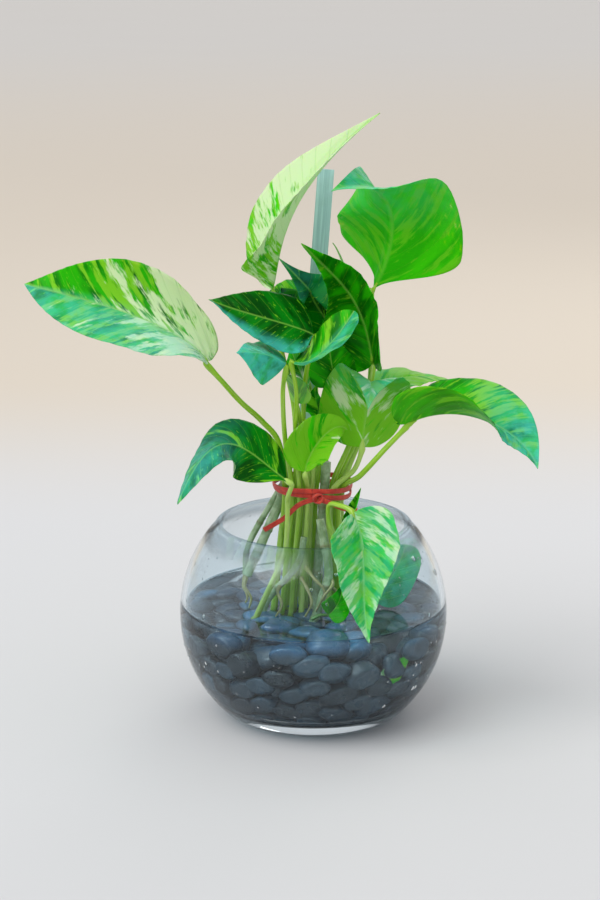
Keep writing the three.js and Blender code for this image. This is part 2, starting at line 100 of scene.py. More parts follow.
# %% Mesh helpers
def grid_faces(rows, cols, start=0, wrap=False, flip=False):
    faces = []
    for r in range(rows - 1):
        for c in range(cols if wrap else cols - 1):
            d = (c + 1) % cols
            quad = [start + r * cols + c, start + r * cols + d,
                    start + (r + 1) * cols + d, start + (r + 1) * cols + c]
            faces.append(quad[::-1] if flip else quad)
    return faces


def add_piece(name, points, faces, material, stands_for=()):
    mesh = bpy.data.meshes.new(name)
    mesh.from_pydata([tuple(p) for p in np.asarray(points) * MM], [], faces)
    mesh.polygons.foreach_set("use_smooth", [True] * len(mesh.polygons))
    mesh.materials.append(material)
    mesh.update()
    piece = bpy.data.objects.new(name, mesh)
    bpy.context.scene.collection.objects.link(piece)
    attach(piece, "root")
    if stands_for:
        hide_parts(*stands_for)
    return piece


def unit(v):
    v = np.asarray(v, float)
    return v / np.maximum(np.linalg.norm(v, axis=-1, keepdims=True), 1e-9)


def smooth_path(points, count):
    """Evenly spaced points on a Catmull-Rom curve through the given ones."""
    p = np.asarray(points, float)
    p = np.vstack([2 * p[0] - p[1], p, 2 * p[-1] - p[-2]])
    fine = []
    for i in range(1, len(p) - 2):
        t = np.linspace(0, 1, 24, endpoint=False)[:, None]
        a, b, c, d = p[i - 1], p[i], p[i + 1], p[i + 2]
        fine.append(0.5 * (2 * b + (c - a) * t + (2 * a - 5 * b + 4 * c - d) * t**2
                           + (3 * b - a - 3 * c + d) * t**3))
    fine = np.vstack(fine + [p[-2]])
    run = np.concatenate([[0], np.cumsum(np.linalg.norm(np.diff(fine, axis=0), axis=1))])
    at = np.linspace(0, run[-1], count)
    return np.stack([np.interp(at, run, fine[:, k]) for k in range(3)], 1)


def path_frames(path, start_side=(1, 0, 0)):
    """A side and an up vector at each point, carried along the path without twist."""
    tangent = unit(np.gradient(path, axis=0))
    side = np.asarray(start_side, float)
    sides = []
    for t in tangent:
        side = unit(side - side.dot(t) * t)
        sides.append(side)
    sides = np.array(sides)
    return tangent, sides, np.cross(tangent, sides)


def sweep(path, section, scales, start_side=(1, 0, 0)):
    """A closed tube: the section's outline, scaled at each point, with flat ends."""
    _, side, up = path_frames(path, start_side)
    n = len(section)
    rings = [path[i] + scales[i] * (section[:, :1] * side[i] + section[:, 1:] * up[i])
             for i in range(len(path))]
    faces = grid_faces(len(path), n, wrap=True)
    faces.append(list(range(n))[::-1])
    faces.append([(len(path) - 1) * n + k for k in range(n)])
    return np.vstack(rings), faces


def circle(sides, squash=1.0):
    angle = np.linspace(0, 2 * math.pi, sides, endpoint=False)
    return np.stack([np.cos(angle), squash * np.sin(angle)], 1)


class Builder:
    """Collects several closed shapes into one piece."""

    def __init__(self):
        self.points, self.faces, self.count = [], [], 0

    def add(self, points, faces):
        self.points.append(np.asarray(points))
        self.faces += [[i + self.count for i in f] for f in faces]
        self.count += len(points)

    def piece(self, name, material, slot, stands_for=()):
        return add_piece(name, np.vstack(self.points), self.faces, material, stands_for)


print("mesh helpers ready")

# %% [markdown]
# ## Material helpers
# A material is a small graph of nodes. These helpers add a node, a sum or a mix in one line
# each, so that a finish reads as a recipe. Colours are written as ordinary screen values from
# 0 to 255 and turned into the linear values that the shader works in.

# %% Material helpers
def tone(red, green, blue):
    def linear(v):
        v /= 255
        return v / 12.92 if v <= 0.04045 else ((v + 0.055) / 1.055) ** 2.4
    return (linear(red), linear(green), linear(blue), 1.0)


class Graph:
    """Adds nodes to one node tree."""

    def __init__(self, tree):
        self.tree = tree

    def node(self, kind, **settings):
        made = self.tree.nodes.new(kind)
        for key, value in settings.items():
            setattr(made, key, value)
        return made

    def feed(self, socket, value):
        if isinstance(value, bpy.types.NodeSocket):
            self.tree.links.new(value, socket)
        else:
            socket.default_value = value

    def math(self, operation, a, b=0.0):
        made = self.node("ShaderNodeMath", operation=operation)
        self.feed(made.inputs[0], a)
        self.feed(made.inputs[1], b)
        return made.outputs[0]

    def mix(self, share, a, b):
        made = self.node("ShaderNodeMix", data_type="RGBA")
        self.feed(made.inputs[0], share)
        self.feed(made.inputs[6], a)
        self.feed(made.inputs[7], b)
        return made.outputs[2]

    def ramp(self, value, low, high, to_low=0.0, to_high=1.0):
        made = self.node("ShaderNodeMapRange", interpolation_type="SMOOTHSTEP")
        for socket, v in zip(made.inputs, (value, low, high, to_low, to_high)):
            self.feed(socket, v)
        return made.outputs[0]

    def noise(self, place, scale, detail=3.0, rough=0.55):
        made = self.node("ShaderNodeTexNoise")
        self.feed(made.inputs["Vector"], place)
        self.feed(made.inputs["Scale"], scale)
        self.feed(made.inputs["Detail"], detail)
        self.feed(made.inputs["Roughness"], rough)
        return made.outputs[0]

    def vector(self, x, y, z):
        made = self.node("ShaderNodeCombineXYZ")
        for socket, v in zip(made.inputs, (x, y, z)):
            self.feed(socket, v)
        return made.outputs[0]

    def parts(self, vector):
        made = self.node("ShaderNodeSeparateXYZ")
        self.feed(made.inputs[0], vector)
        return made.outputs

    def stored(self, name, output=2):
        return self.node("ShaderNodeAttribute", attribute_name=name).outputs[output]

    def place(self):
        return self.node("ShaderNodeTexCoord").outputs["Object"]

    def bump(self, height, strength, distance):
        made = self.node("ShaderNodeBump")
        made.inputs["Strength"].default_value = strength
        made.inputs["Distance"].default_value = distance
        self.feed(made.inputs["Height"], height)
        return made.outputs[0]

    def group(self, tree, **values):
        made = self.node("ShaderNodeGroup", node_tree=tree)
        for key, value in values.items():
            self.feed(made.inputs[key.replace("_", " ")], value)
        return made.outputs


def new_material(name, **shader_values):
    material = bpy.data.materials.new(name)
    material.use_nodes = True
    shader = material.node_tree.nodes["Principled BSDF"]
    for key, value in shader_values.items():
        shader.inputs[key.replace("_", " ")].default_value = value
    return material, Graph(material.node_tree), shader


def new_group(name, inputs, outputs):
    tree = bpy.data.node_groups.new(name, "ShaderNodeTree")
    for label, kind, value in inputs:
        socket = tree.interface.new_socket(label, in_out="INPUT", socket_type=kind)
        if value is not None:
            socket.default_value = value
    for label, kind in outputs:
        tree.interface.new_socket(label, in_out="OUTPUT", socket_type=kind)
    graph = Graph(tree)
    return tree, graph, graph.node("NodeGroupInput").outputs, graph.node("NodeGroupOutput").inputs


COLOUR, NUMBER, ARROW = "NodeSocketColor", "NodeSocketFloat", "NodeSocketVector"
print("material helpers ready")

# %% [markdown]
# ## The marbling of a leaf
# On the real plant the cream and lime parts are streaks that leave the midrib and run out along
# the side veins. A plain noise would look like camouflage, so the noise is read in the leaf's
# own coordinates: how far along the midrib a vein starts, and how far out along it a point is.
# Stretching the noise along the vein gives the streaks. Each vertex stores those coordinates
# in millimetres in an attribute, so the pattern follows every bend of the blade.

# %% Marbling node group
VEIN_SLANT = 0.85


def make_marbling():
    tree, g, given, result = new_group(
        "leaf_marbling",
        [("Place", ARROW, None), ("Cream", NUMBER, 0.3), ("Lime", NUMBER, 0.5),
         ("Deep Tone", COLOUR, tone(8, 70, 8)), ("Green Tone", COLOUR, tone(30, 140, 10)),
         ("Lime Tone", COLOUR, tone(122, 196, 36)), ("Cream Tone", COLOUR, tone(208, 233, 182))],
        [("Colour", COLOUR), ("Height", NUMBER)])
    along, out, seed = g.parts(given["Place"])
    vein = g.math("SUBTRACT", along, g.math("MULTIPLY", out, VEIN_SLANT))

    def streaks(across_step, along_step, shift, detail):
        place = g.vector(g.math("MULTIPLY", vein, across_step), g.math("MULTIPLY", out, along_step),
                         g.math("ADD", seed, shift))
        return g.noise(place, 1.0, detail, 0.6)

    broad = streaks(0.1, 0.06, 0.0, 3.0)
    narrow = streaks(0.3, 0.1, 11.0, 5.0)
    speck = streaks(1.3, 0.35, 23.0, 2.0)
    pattern = g.math("ADD", g.math("MULTIPLY", broad, 0.58),
                     g.math("ADD", g.math("MULTIPLY", narrow, 0.32), g.math("MULTIPLY", speck, 0.1)))
    cream_line = g.math("SUBTRACT", 0.74, g.math("MULTIPLY", given["Cream"], 0.42))
    lime_line = g.math("SUBTRACT", 0.72, g.math("MULTIPLY", given["Lime"], 0.42))
    cream = g.ramp(pattern, cream_line, g.math("ADD", cream_line, 0.075))
    lime = g.ramp(streaks(0.2, 0.05, 37.0, 4.0), lime_line, g.math("ADD", lime_line, 0.09))
    shade = g.ramp(streaks(0.11, 0.05, 51.0, 2.0), 0.38, 0.62)
    flecks = g.ramp(streaks(0.75, 0.3, 71.0, 2.0), 0.63, 0.72, 0.0, 0.75)
    ribs = g.math("ABSOLUTE", g.math("SINE", g.math("MULTIPLY", vein, 0.42)))
    rib_line = g.ramp(ribs, 0.0, 0.16, 1.0, 0.0)
    green = g.mix(shade, given["Deep Tone"], given["Green Tone"])
    green = g.mix(g.math("MAXIMUM", lime, flecks), green, given["Lime Tone"])
    colour = g.mix(cream, green, given["Cream Tone"])
    colour = g.mix(g.math("MULTIPLY", rib_line, 0.22), colour, given["Lime Tone"])
    g.feed(result["Colour"], colour)
    lift = g.math("ADD", g.math("MULTIPLY", rib_line, -0.8), g.math("MULTIPLY", speck, 0.5))
    g.feed(result["Height"], g.math("ADD", lift, g.math("MULTIPLY", cream, 0.12)))
    return tree


marbling = make_marbling()
print("node group:", marbling.name, "with", len(marbling.nodes), "nodes")

# %% [markdown]
# ## Leaf finishes
# A pothos leaf is waxy above and paler and duller below. Light also passes through it, which is
# why blades seen from behind glow green. A little subsurface scattering gives that glow. The
# cool blue-green sheen on some blades is the wax catching skylight. It is painted: a soft mask
# paints that reflection into the base colour and also lowers the roughness.

# %% Leaf material
GREEN = dict(Deep_Tone=tone(8, 106, 4), Green_Tone=tone(40, 174, 4))
BRIGHT = dict(Deep_Tone=tone(30, 158, 0), Green_Tone=tone(64, 202, 2))
NIGHT = dict(Deep_Tone=tone(2, 70, 6), Green_Tone=tone(5, 128, 16))
# Painted sheen colour: the blue-green of skylight reflected in the wax, painted into the base colour.
PAINTED_SHEEN_TONE = tone(76, 198, 188)


def leaf_material(name, tones, cream, lime, under, under_share, length):
    """cream holds the share of cream at the blade's base and at its tip."""
    material, g, shader = new_material(
        name, Subsurface_Weight=0.28, Subsurface_Scale=0.0016, Specular_IOR_Level=0.16,
        Coat_Weight=0.03, Coat_Roughness=0.25)
    shader.inputs["Specular Tint"].default_value = tone(150, 242, 140)
    shader.inputs["Subsurface Radius"].default_value = (0.55, 1.0, 0.2)
    place = g.stored("leaf_place", 1)
    cream_here = g.ramp(g.parts(place)[0], 0.0, length, *cream)
    colour, height = g.group(marbling, Place=place, Cream=cream_here, Lime=lime, **tones)
    rib = g.ramp(g.stored("rib_share"), 0.0, 0.045, 1.0, 0.0)
    colour = g.mix(g.math("MULTIPLY", rib, 0.6), colour, tone(140, 198, 78))
    # Painted sheen: a blue-green skylight reflection painted into the base colour where the stored mask
    # lies, speckled by noise; the same mask lowers the roughness.
    speckled = g.noise(place, 0.16, 3.0)
    painted_sheen = g.math("MULTIPLY", g.stored("painted_sheen"), g.ramp(speckled, 0.3, 0.6, 0.35, 1.0))
    colour = g.mix(g.math("MULTIPLY", painted_sheen, 0.8), colour, PAINTED_SHEEN_TONE)
    below = g.math("MULTIPLY", g.stored("under"), under_share)
    colour = g.mix(below, colour, under)
    g.feed(shader.inputs["Base Color"], colour)
    rough = g.ramp(g.noise(g.place(), 260.0), 0.3, 0.7, 0.3, 0.42)
    rough = g.math("ADD", rough, g.math("MULTIPLY", g.stored("under"), 0.15))
    g.feed(shader.inputs["Roughness"], g.math("SUBTRACT", rough, g.math("MULTIPLY", painted_sheen, 0.06)))
    g.feed(shader.inputs["Normal"], g.bump(height, 0.35, 0.0004))
    return material


print("bloom tone:", [round(v, 2) for v in PAINTED_SHEEN_TONE])

# %% [markdown]
# ## The shape of a leaf
# Each blade is half a heart on either side of a midrib. The flat outline of a half is two Bezier
# curves, one round the lobe and one out to the drawn tip. The midrib is a Bezier curve in space.
# Each half leaves it at a fold angle and may cup. This is the same construction as the frame's
# thin solids, only fifty times finer, so the blade here lies where its frame node lies, and then
# gets what the frame leaves out: a groove over the midrib, quilting between the side veins, a
# rippled margin and a tip that thins away.

# %% Leaf table
# Each leaf: the four handles of its midrib, which way its upper face looks at the base and at the
# tip, its half width, its (base, tip) fold angles and its cup for the right and the left half, and
# how far its lobes reach behind the stalk. blunt, where it is given, rounds the tip off. stalk, tie
# and foot are the places that its stalk passes on the way down.
LEAVES = {
    "far_left": dict(
        midrib=[(-50, -18, 180), (-65, -15, 200), (-117, -36, 215), (-134, -18, 216)],
        face=[(0.3, -0.2, 0.9), (0, -0.6, 0.8)],
        half=32, fold=[(-14, 19), (22, -19)], cup=(40, 0), lobe=0.04,
        stalk=[(-43, -17, 169.5), (-34.6, -11, 158.3), (-24.3, -5, 147), (-16.4, -5, 136)],
        tie=(-13.6, -7.5)),
    "tall": dict(
        midrib=[(-20, 2, 209), (-15, 9, 221), (-21, 0, 252), (31, 1, 293)],
        face=[(-1, -0.1, 0.1), (-0.9, -0.4, 0.2)],
        half=27, fold=[(66, 28), (17, 48)], cup=(-24, -4), lobe=-0.05,
        stalk=[(-18.5, 4, 195), (-15, 3, 178), (-9, 2, 150)],
        tie=(-8.5, -3.5)),
    "top_right": dict(
        midrib=[(28, 7, 208), (42, 10, 232), (42, 16, 266), (7.5, -12, 258)],
        face=[(0.1, 0.98, -0.1), (-0.4, -0.4, 0.8)],
        half=35, fold=[(58, 46), (5, -10)], cup=(0, 0), lobe=-0.15,
        stalk=[(28, 13, 180), (26, 16, 150), (19, 10, 128)],
        tie=(12, 4.5)),
    "dark_high": dict(
        midrib=[(28, 6, 174), (23, 9, 207), (13, 4, 211), (-6, -13, 234)],
        face=[(-0.4, -0.9, 0.3), (-0.2, -0.8, 0.6)],
        half=23, fold=[(43, 46), (12, 50)], cup=(34, 7), lobe=0.1,
        stalk=[(26, 0, 160), (17, -3, 135)],
        tie=(8.5, -3.5)),
    "dark_back": dict(
        midrib=[(12, 14, 184), (-14, 13, 220), (12, 7, 194), (-17, 2, 225)],
        face=[(-0.2, -0.8, 0.5), (-0.2, -0.8, 0.6)],
        half=17, fold=[(14, 11), (19, 28)], cup=(0, 0), lobe=0.1,
        stalk=[(11, 11, 160)],
        tie=(4.5, 5.5)),
    "cupped": dict(
        midrib=[(0, -10, 190), (-7, -13, 195.5), (-38, -19, 203), (-48, -35, 212)],
        face=[(0.1, -0.7, 0.7), (-0.4, -0.7, 0.6)],
        half=17.5, fold=[(-4, -6), (12, -7)], cup=(0, 12), lobe=-0.08,
        stalk=[(-4, -6, 168), (-5, -3, 142)],
        tie=(-5, 0.8)),
    "front_teal": dict(
        midrib=[(-13, -27, 180), (-20, -30, 186), (-28, -36, 188), (-35.5, -41, 188.3)],
        face=[(-0.2, -0.55, 0.8), (-0.4, -0.8, 0.5)],
        half=14, fold=[(-26, -26), (-50, -40)], cup=(0, 0), lobe=0.02,
        stalk=[(-14.5, -21, 165), (-13.5, -13.5, 140)],
        tie=(-10.2, -11.5)),
    "raised": dict(
        midrib=[(-8.6, -27, 181), (-1, -28, 178), (11, -27, 192), (18.5, -22, 204)],
        face=[(-0.4, -0.3, 0.9), (-0.2, -0.5, 0.85)],
        half=13.5, fold=[(22, 8), (0, 16)], cup=(20, -20), lobe=0.02, blunt=1,
        stalk=[(-8.2, -20.5, 165), (-8.6, -13.5, 140)],
        tie=(-6.6, -13.2)),
    "upright_small": dict(
        midrib=[(10, 1, 165), (9, -2, 173), (6, 1, 183), (8, -2, 191)],
        face=[(0.1, -1, 0.2), (0, -1, 0.1)],
        half=12, fold=[(18, 18), (10, 10)], cup=(17, 0), lobe=0.1,
        stalk=[(8, 4, 155), (6, 3, 138)],
        tie=(1.5, 0.5)),
    "broad": dict(
        midrib=[(23, -9, 136), (25, -7, 160), (29, -9, 183), (25, -27, 158)],
        face=[(0, 0.97, 0.2), (0.2, -0.8, 0.5)],
        half=23, fold=[(16, 10), (34, 24)], cup=(0, 0), lobe=0.03,
        stalk=[(19, -12, 125)],
        tie=(8, -12.4)),
    "right_arch": dict(
        midrib=[(44, -23, 151), (69, -21, 163), (98, -13, 146), (104, -35, 132)],
        face=[(-0.1, 0.1, 1), (0.4, -0.8, 0.5)],
        half=25, fold=[(48, 16), (10, 29)], cup=(10, 0), lobe=0.12,
        stalk=[(33.6, -21, 138), (22, -16, 123.5)],
        tie=(12.4, -7.8)),
    "right_back": dict(
        midrib=[(31, 16, 157), (42, 17, 167), (55, 27, 163), (71, 19, 160)],
        face=[(-0.1, 0.3, 1), (-0.2, 0.4, 0.9)],
        half=17, fold=[(-26, -20), (46, 14)], cup=(0, -20), lobe=0.1,
        stalk=[(24, 9, 138)],
        tie=(14, -1)),
    "left_drooping": dict(
        midrib=[(-11.6, -33, 125), (-32, -25.3, 137.6), (-44.3, -34.5, 163.1), (-63, -50, 118.8)],
        face=[(0, -0.85, 0.5), (-0.7, -0.6, 0.3)],
        half=16.5, fold=[(-42, -25), (50, -10)], cup=(0, 0), lobe=-0.07, blunt=0.6,
        stalk=[(-12.2, -30.2, 117)],
        tie=(-12.4, -28.2),
        foot=[(-12.6, -28.2, 100), (-14.5, -26.5, 86), (-24.5, -24, 62), (-31, -22, 46)]),
    "pale_middle": dict(
        midrib=[(-4, -17, 126), (-3, -9, 134), (10, -20, 154), (16, -10, 144)],
        face=[(-0.1, -1, 0.3), (-0.1, -0.9, 0.3)],
        half=15, fold=[(40, 30), (30, 16)], cup=(30, 20), lobe=0.06,
        stalk=[(-3.2, -14.2, 119)],
        tie=(-2.6, -13.2)),
    "pale_hanging": dict(
        midrib=[(-7, -13, 158), (-7, -12, 164), (-10, -11, 170), (-13, -15, 173)],
        face=[(0.4, 0.7, 0.6), (0.4, 0.7, 0.6)],
        half=9, fold=[(20, 15), (-5, 0)], cup=(10, -10), lobe=0.04,
        stalk=[(-6, -12, 144)],
        tie=(-5.5, -9)),
    "left_of_broad": dict(
        midrib=[(1, 1, 147), (5, 4, 151), (-2, 4, 156), (2, 2, 164)],
        face=[(-0.4, -0.9, 0.2), (-0.3, -0.9, 0.1)],
        half=6, fold=[(19, 25), (8, 19)], cup=(0, 0), lobe=0.05,
        stalk=[(1, -5, 135)],
        tie=(-1, -9)),
    "behind_broad": dict(
        midrib=[(23, 10, 153), (22, 13, 160), (17, 12, 164), (20, 9, 168)],
        face=[(-0.1, -0.9, 0.4), (-0.1, -0.9, 0.4)],
        half=8, fold=[(50, 24), (50, 22)], cup=(20, 20), lobe=0.04,
        stalk=[(20, 3, 135)],
        tie=(10.5, 0.5)),
    "inner_strip": dict(
        midrib=[(-4, 9, 162), (-6, 2, 170), (-10, 5, 176), (-11, 13, 180)],
        face=[(-0.8, -0.6, 0.3), (-0.8, -0.6, 0.3)],
        half=9, fold=[(20, 5), (15, 9)], cup=(-15, 0), lobe=0.04,
        stalk=[(0, 6, 140)],
        tie=(-3, -4)),
    "back_left": dict(
        midrib=[(-4, 27, 192), (-11, 24, 202), (-20, 25, 202), (-26, 30, 198)],
        face=[(0.2, -0.6, 0.7), (0.2, -0.6, 0.7)],
        half=17, fold=[(0, 0), (10, 10)], cup=(-15, 0), lobe=0.1,
        stalk=[(1, 20, 160)],
        tie=(1.2, 12.8)),
    "front_hanging": dict(
        midrib=[(18, -45, 113), (26, -47, 98), (20, -60, 80), (25, -74, 60)],
        face=[(0.1, -0.9, 0.3), (-0.1, -1, 0)],
        half=22.5, fold=[(34, 36), (26, 44)], cup=(30, 25), lobe=0.03,
        stalk=[(13.4, -40, 115.2)],
        tie=(7.5, -30),
        foot=[(7.5, -25.5, 103), (12.5, -22, 84), (14, -21, 60), (14, -21, 46)]),
    "rolled": dict(
        midrib=[(15, -27, 100), (18, -28, 108), (20, -28, 114), (22, -28, 121)],
        face=[(-0.3, -0.9, 0.2), (-0.3, -0.9, 0.2)],
        half=5, fold=[(60, 50), (55, 50)], cup=(20, 20), lobe=0),
    "inside_right": dict(
        midrib=[(30, -10, 59), (37, -10, 70), (43.5, -8, 81), (44, -5, 86)],
        face=[(-0.1, -0.95, 0.3), (-0.1, -0.95, 0.3)],
        half=11.5, fold=[(8, 8), (8, 8)], cup=(0, 0), lobe=0.02, blunt=1),
    "low_centre": dict(
        midrib=[(7, -34.5, 60.5), (10, -35.5, 63), (14, -35.5, 69), (13, -34.5, 77)],
        face=[(0.1, -0.9, 0.3), (0.1, -0.9, 0.3)],
        half=7, fold=[(15, 15), (20, 20)], cup=(0, 0), lobe=0.03),
    "fragment": dict(
        midrib=[(31, -47, 29), (34, -46, 34), (40, -42, 40), (44, -38, 43)],
        face=[(0.6, -0.8, 0.1), (0.75, -0.65, 0.1)],
        half=6, fold=[(-10, -5), (-10, -5)], cup=(0, 0), lobe=0),
}
print("leaves:", len(LEAVES))


# %% Leaf surface
def bezier(points, t):
    p = np.asarray(points, float)
    t = np.asarray(t, float)[..., None]
    return ((1 - t)**3 * p[0] + 3 * (1 - t)**2 * t * p[1]
            + 3 * (1 - t) * t**2 * p[2] + t**3 * p[3])


def bezier_slope(points, t):
    p = np.asarray(points, float)
    t = np.asarray(t, float)[..., None]
    return 3 * ((1 - t)**2 * (p[1] - p[0]) + 2 * (1 - t) * t * (p[2] - p[1]) + t**2 * (p[3] - p[2]))


def half_outline(u, lobe, blunt=0.0):
    lobe_curve = [(0, 0), (-0.9 * lobe, 0.05), (-1.25 * lobe, 1), (0.27, 1)]
    taper_curve = [(0.27, 1), (0.62, 1), (0.8 + 0.16 * blunt, 0.22 + 0.6 * blunt), (1, 0)]
    first = bezier(lobe_curve, np.clip(2 * u, 0, 1))
    second = bezier(taper_curve, np.clip(2 * u - 1, 0, 1))
    return np.where((u < 0.5)[..., None], first, second)


def midrib_length(leaf):
    run = bezier(leaf["midrib"], np.linspace(0, 1, 60))
    return float(np.linalg.norm(np.diff(run, axis=0), axis=1).sum())


def midrib_frame(leaf, along):
    inside = np.clip(along, 0, 1)
    forward = unit(bezier_slope(leaf["midrib"], inside))
    origin = bezier(leaf["midrib"], inside)
    origin = origin + forward * (np.minimum(along, 0) * midrib_length(leaf))[..., None]
    low, high = (np.asarray(f, float) for f in leaf["face"])
    up = low + (high - low) * inside[..., None]
    up = unit(up - (up * forward).sum(-1, keepdims=True) * forward)
    return origin, up, np.cross(forward, up)


RIB_SPACING = 7.5
RIPPLE = 0.9


def blade_points(leaf, u, across, lift, seed):
    """Points of the blade, with its quilting, ripple and midrib groove."""
    flat = half_outline(u, leaf["lobe"], leaf.get("blunt", 0))
    share = np.abs(across)
    length = midrib_length(leaf)
    along = u**1.5 * (1 - share) + flat[..., 0] * share
    reach = flat[..., 1] * share
    origin, up, side = midrib_frame(leaf, along)
    grow = np.clip(along, 0, 1)
    right = across > 0
    fold = np.where(right, leaf["fold"][0][0] + (leaf["fold"][0][1] - leaf["fold"][0][0]) * grow,
                    leaf["fold"][1][0] + (leaf["fold"][1][1] - leaf["fold"][1][0]) * grow)
    cup = np.where(right, leaf["cup"][0], leaf["cup"][1])
    angle = np.radians(fold + 0.5 * cup * reach) * np.minimum(1, reach * 9) ** 0.5
    out_mm = leaf["half"] * reach
    vein = along * length - VEIN_SLANT * out_mm
    size = min(1.0, leaf["half"] / 22)
    quilt = 0.22 * size * np.sin(2 * math.pi * vein / RIB_SPACING + seed) * np.minimum(1, reach * 3)
    wave = np.sin(along * 13 + seed * 2.1 + across) + 0.6 * np.sin(along * 23 + seed * 3.7 - across)
    ripple = RIPPLE * size * reach**3 * wave
    groove = -0.35 * size * np.exp(-(out_mm / 0.9) ** 2)
    raised = lift + quilt + ripple + groove
    sign = np.where(across < 0, -1.0, 1.0)
    points = (origin + side * (sign * (out_mm * np.cos(angle) - raised * np.sin(angle)))[..., None]
              + up * (out_mm * np.sin(angle) + raised * np.cos(angle))[..., None])
    return points, np.stack([along * length, out_mm, np.full_like(out_mm, seed) + 3.3 * sign], -1), reach


print("outline at widest:", half_outline(np.array([0.5]), 0.1)[0])

# %% [markdown]
# ## Leaf blades
# A blade is two sheets a few tenths of a millimetre apart, joined round the margin, so it is a
# closed body that light can pass through. Rows are closer together near the tip and the lobes,
# where the outline turns fastest.

# %% Build one blade
ROWS, COLUMNS = 64, 41
BLADE_THICKNESS = 0.42


def painted_sheen_of(region, along_share, across):
    """Where the painted skylight sheen lies on a blade: a part of the leaf, with a soft edge."""
    where, amount = region
    tip = np.clip((along_share - 0.35) / 0.4, 0, 1)
    left = np.clip(0.5 - across * 2.2, 0, 1)
    right = np.clip(0.5 + across * 2.2, 0, 1)
    edge = np.clip((np.abs(across) - 0.45) / 0.35, 0, 1)
    base = np.clip((0.45 - along_share) / 0.3, 0, 1)
    masks = dict(tip=tip, left=left, right=right, edge=edge, base=base, left_edge=left * edge,
                 all=np.ones_like(tip), none=np.zeros_like(tip))
    return amount * masks[where]


def build_leaf(name, leaf, material, painted_sheen, seed):
    turns = np.linspace(0, 1, ROWS)
    u = 0.5 - 0.5 * np.cos(math.pi * turns)
    u = 0.004 + 0.992 * (0.55 * turns + 0.45 * u)
    across = np.linspace(-1, 1, COLUMNS)
    across = np.sign(across) * np.abs(across) ** 1.15
    grid_u, grid_across = np.meshgrid(u, across, indexing="ij")
    sheets, places, reaches = [], [], []
    for side in (1, -1):
        thin = 1 - 0.55 * np.abs(grid_across) ** 3
        lift = side * 0.5 * BLADE_THICKNESS * thin
        points, place, reach = blade_points(leaf, grid_u, grid_across, lift, seed)
        sheets.append(points.reshape(-1, 3))
        places.append(place.reshape(-1, 3))
        reaches.append(reach.reshape(-1))
    count = ROWS * COLUMNS
    faces = grid_faces(ROWS, COLUMNS) + grid_faces(ROWS, COLUMNS, start=count, flip=True)
    rim = [r * COLUMNS for r in range(ROWS)] + [(ROWS - 1) * COLUMNS + c for c in range(1, COLUMNS)]
    rim += [r * COLUMNS + COLUMNS - 1 for r in range(ROWS - 2, -1, -1)]
    rim += [c for c in range(COLUMNS - 2, 0, -1)]
    for a, b in zip(rim, rim[1:] + rim[:1]):
        faces.append([a, b, b + count, a + count])
    piece = add_piece(name, np.vstack(sheets), faces, material, [name])
    along_share = np.vstack(places)[:, 0] / midrib_length(leaf)
    store(piece, "leaf_place", np.vstack(places))
    store(piece, "under", np.repeat([0.0, 1.0], count))
    store(piece, "rib_share", np.concatenate(reaches))
    # Stores the mask of painted skylight sheen, a reflection painted into the base colour.
    store(piece, "painted_sheen", painted_sheen_of(painted_sheen, along_share, np.tile(grid_across.reshape(-1), 2)))
    return piece


def store(piece, name, values):
    values = np.asarray(values, float)
    kind = "FLOAT_VECTOR" if values.ndim == 2 else "FLOAT"
    attribute = piece.data.attributes.new(name, kind, "POINT")
    attribute.data.foreach_set("vector" if values.ndim == 2 else "value", values.ravel())


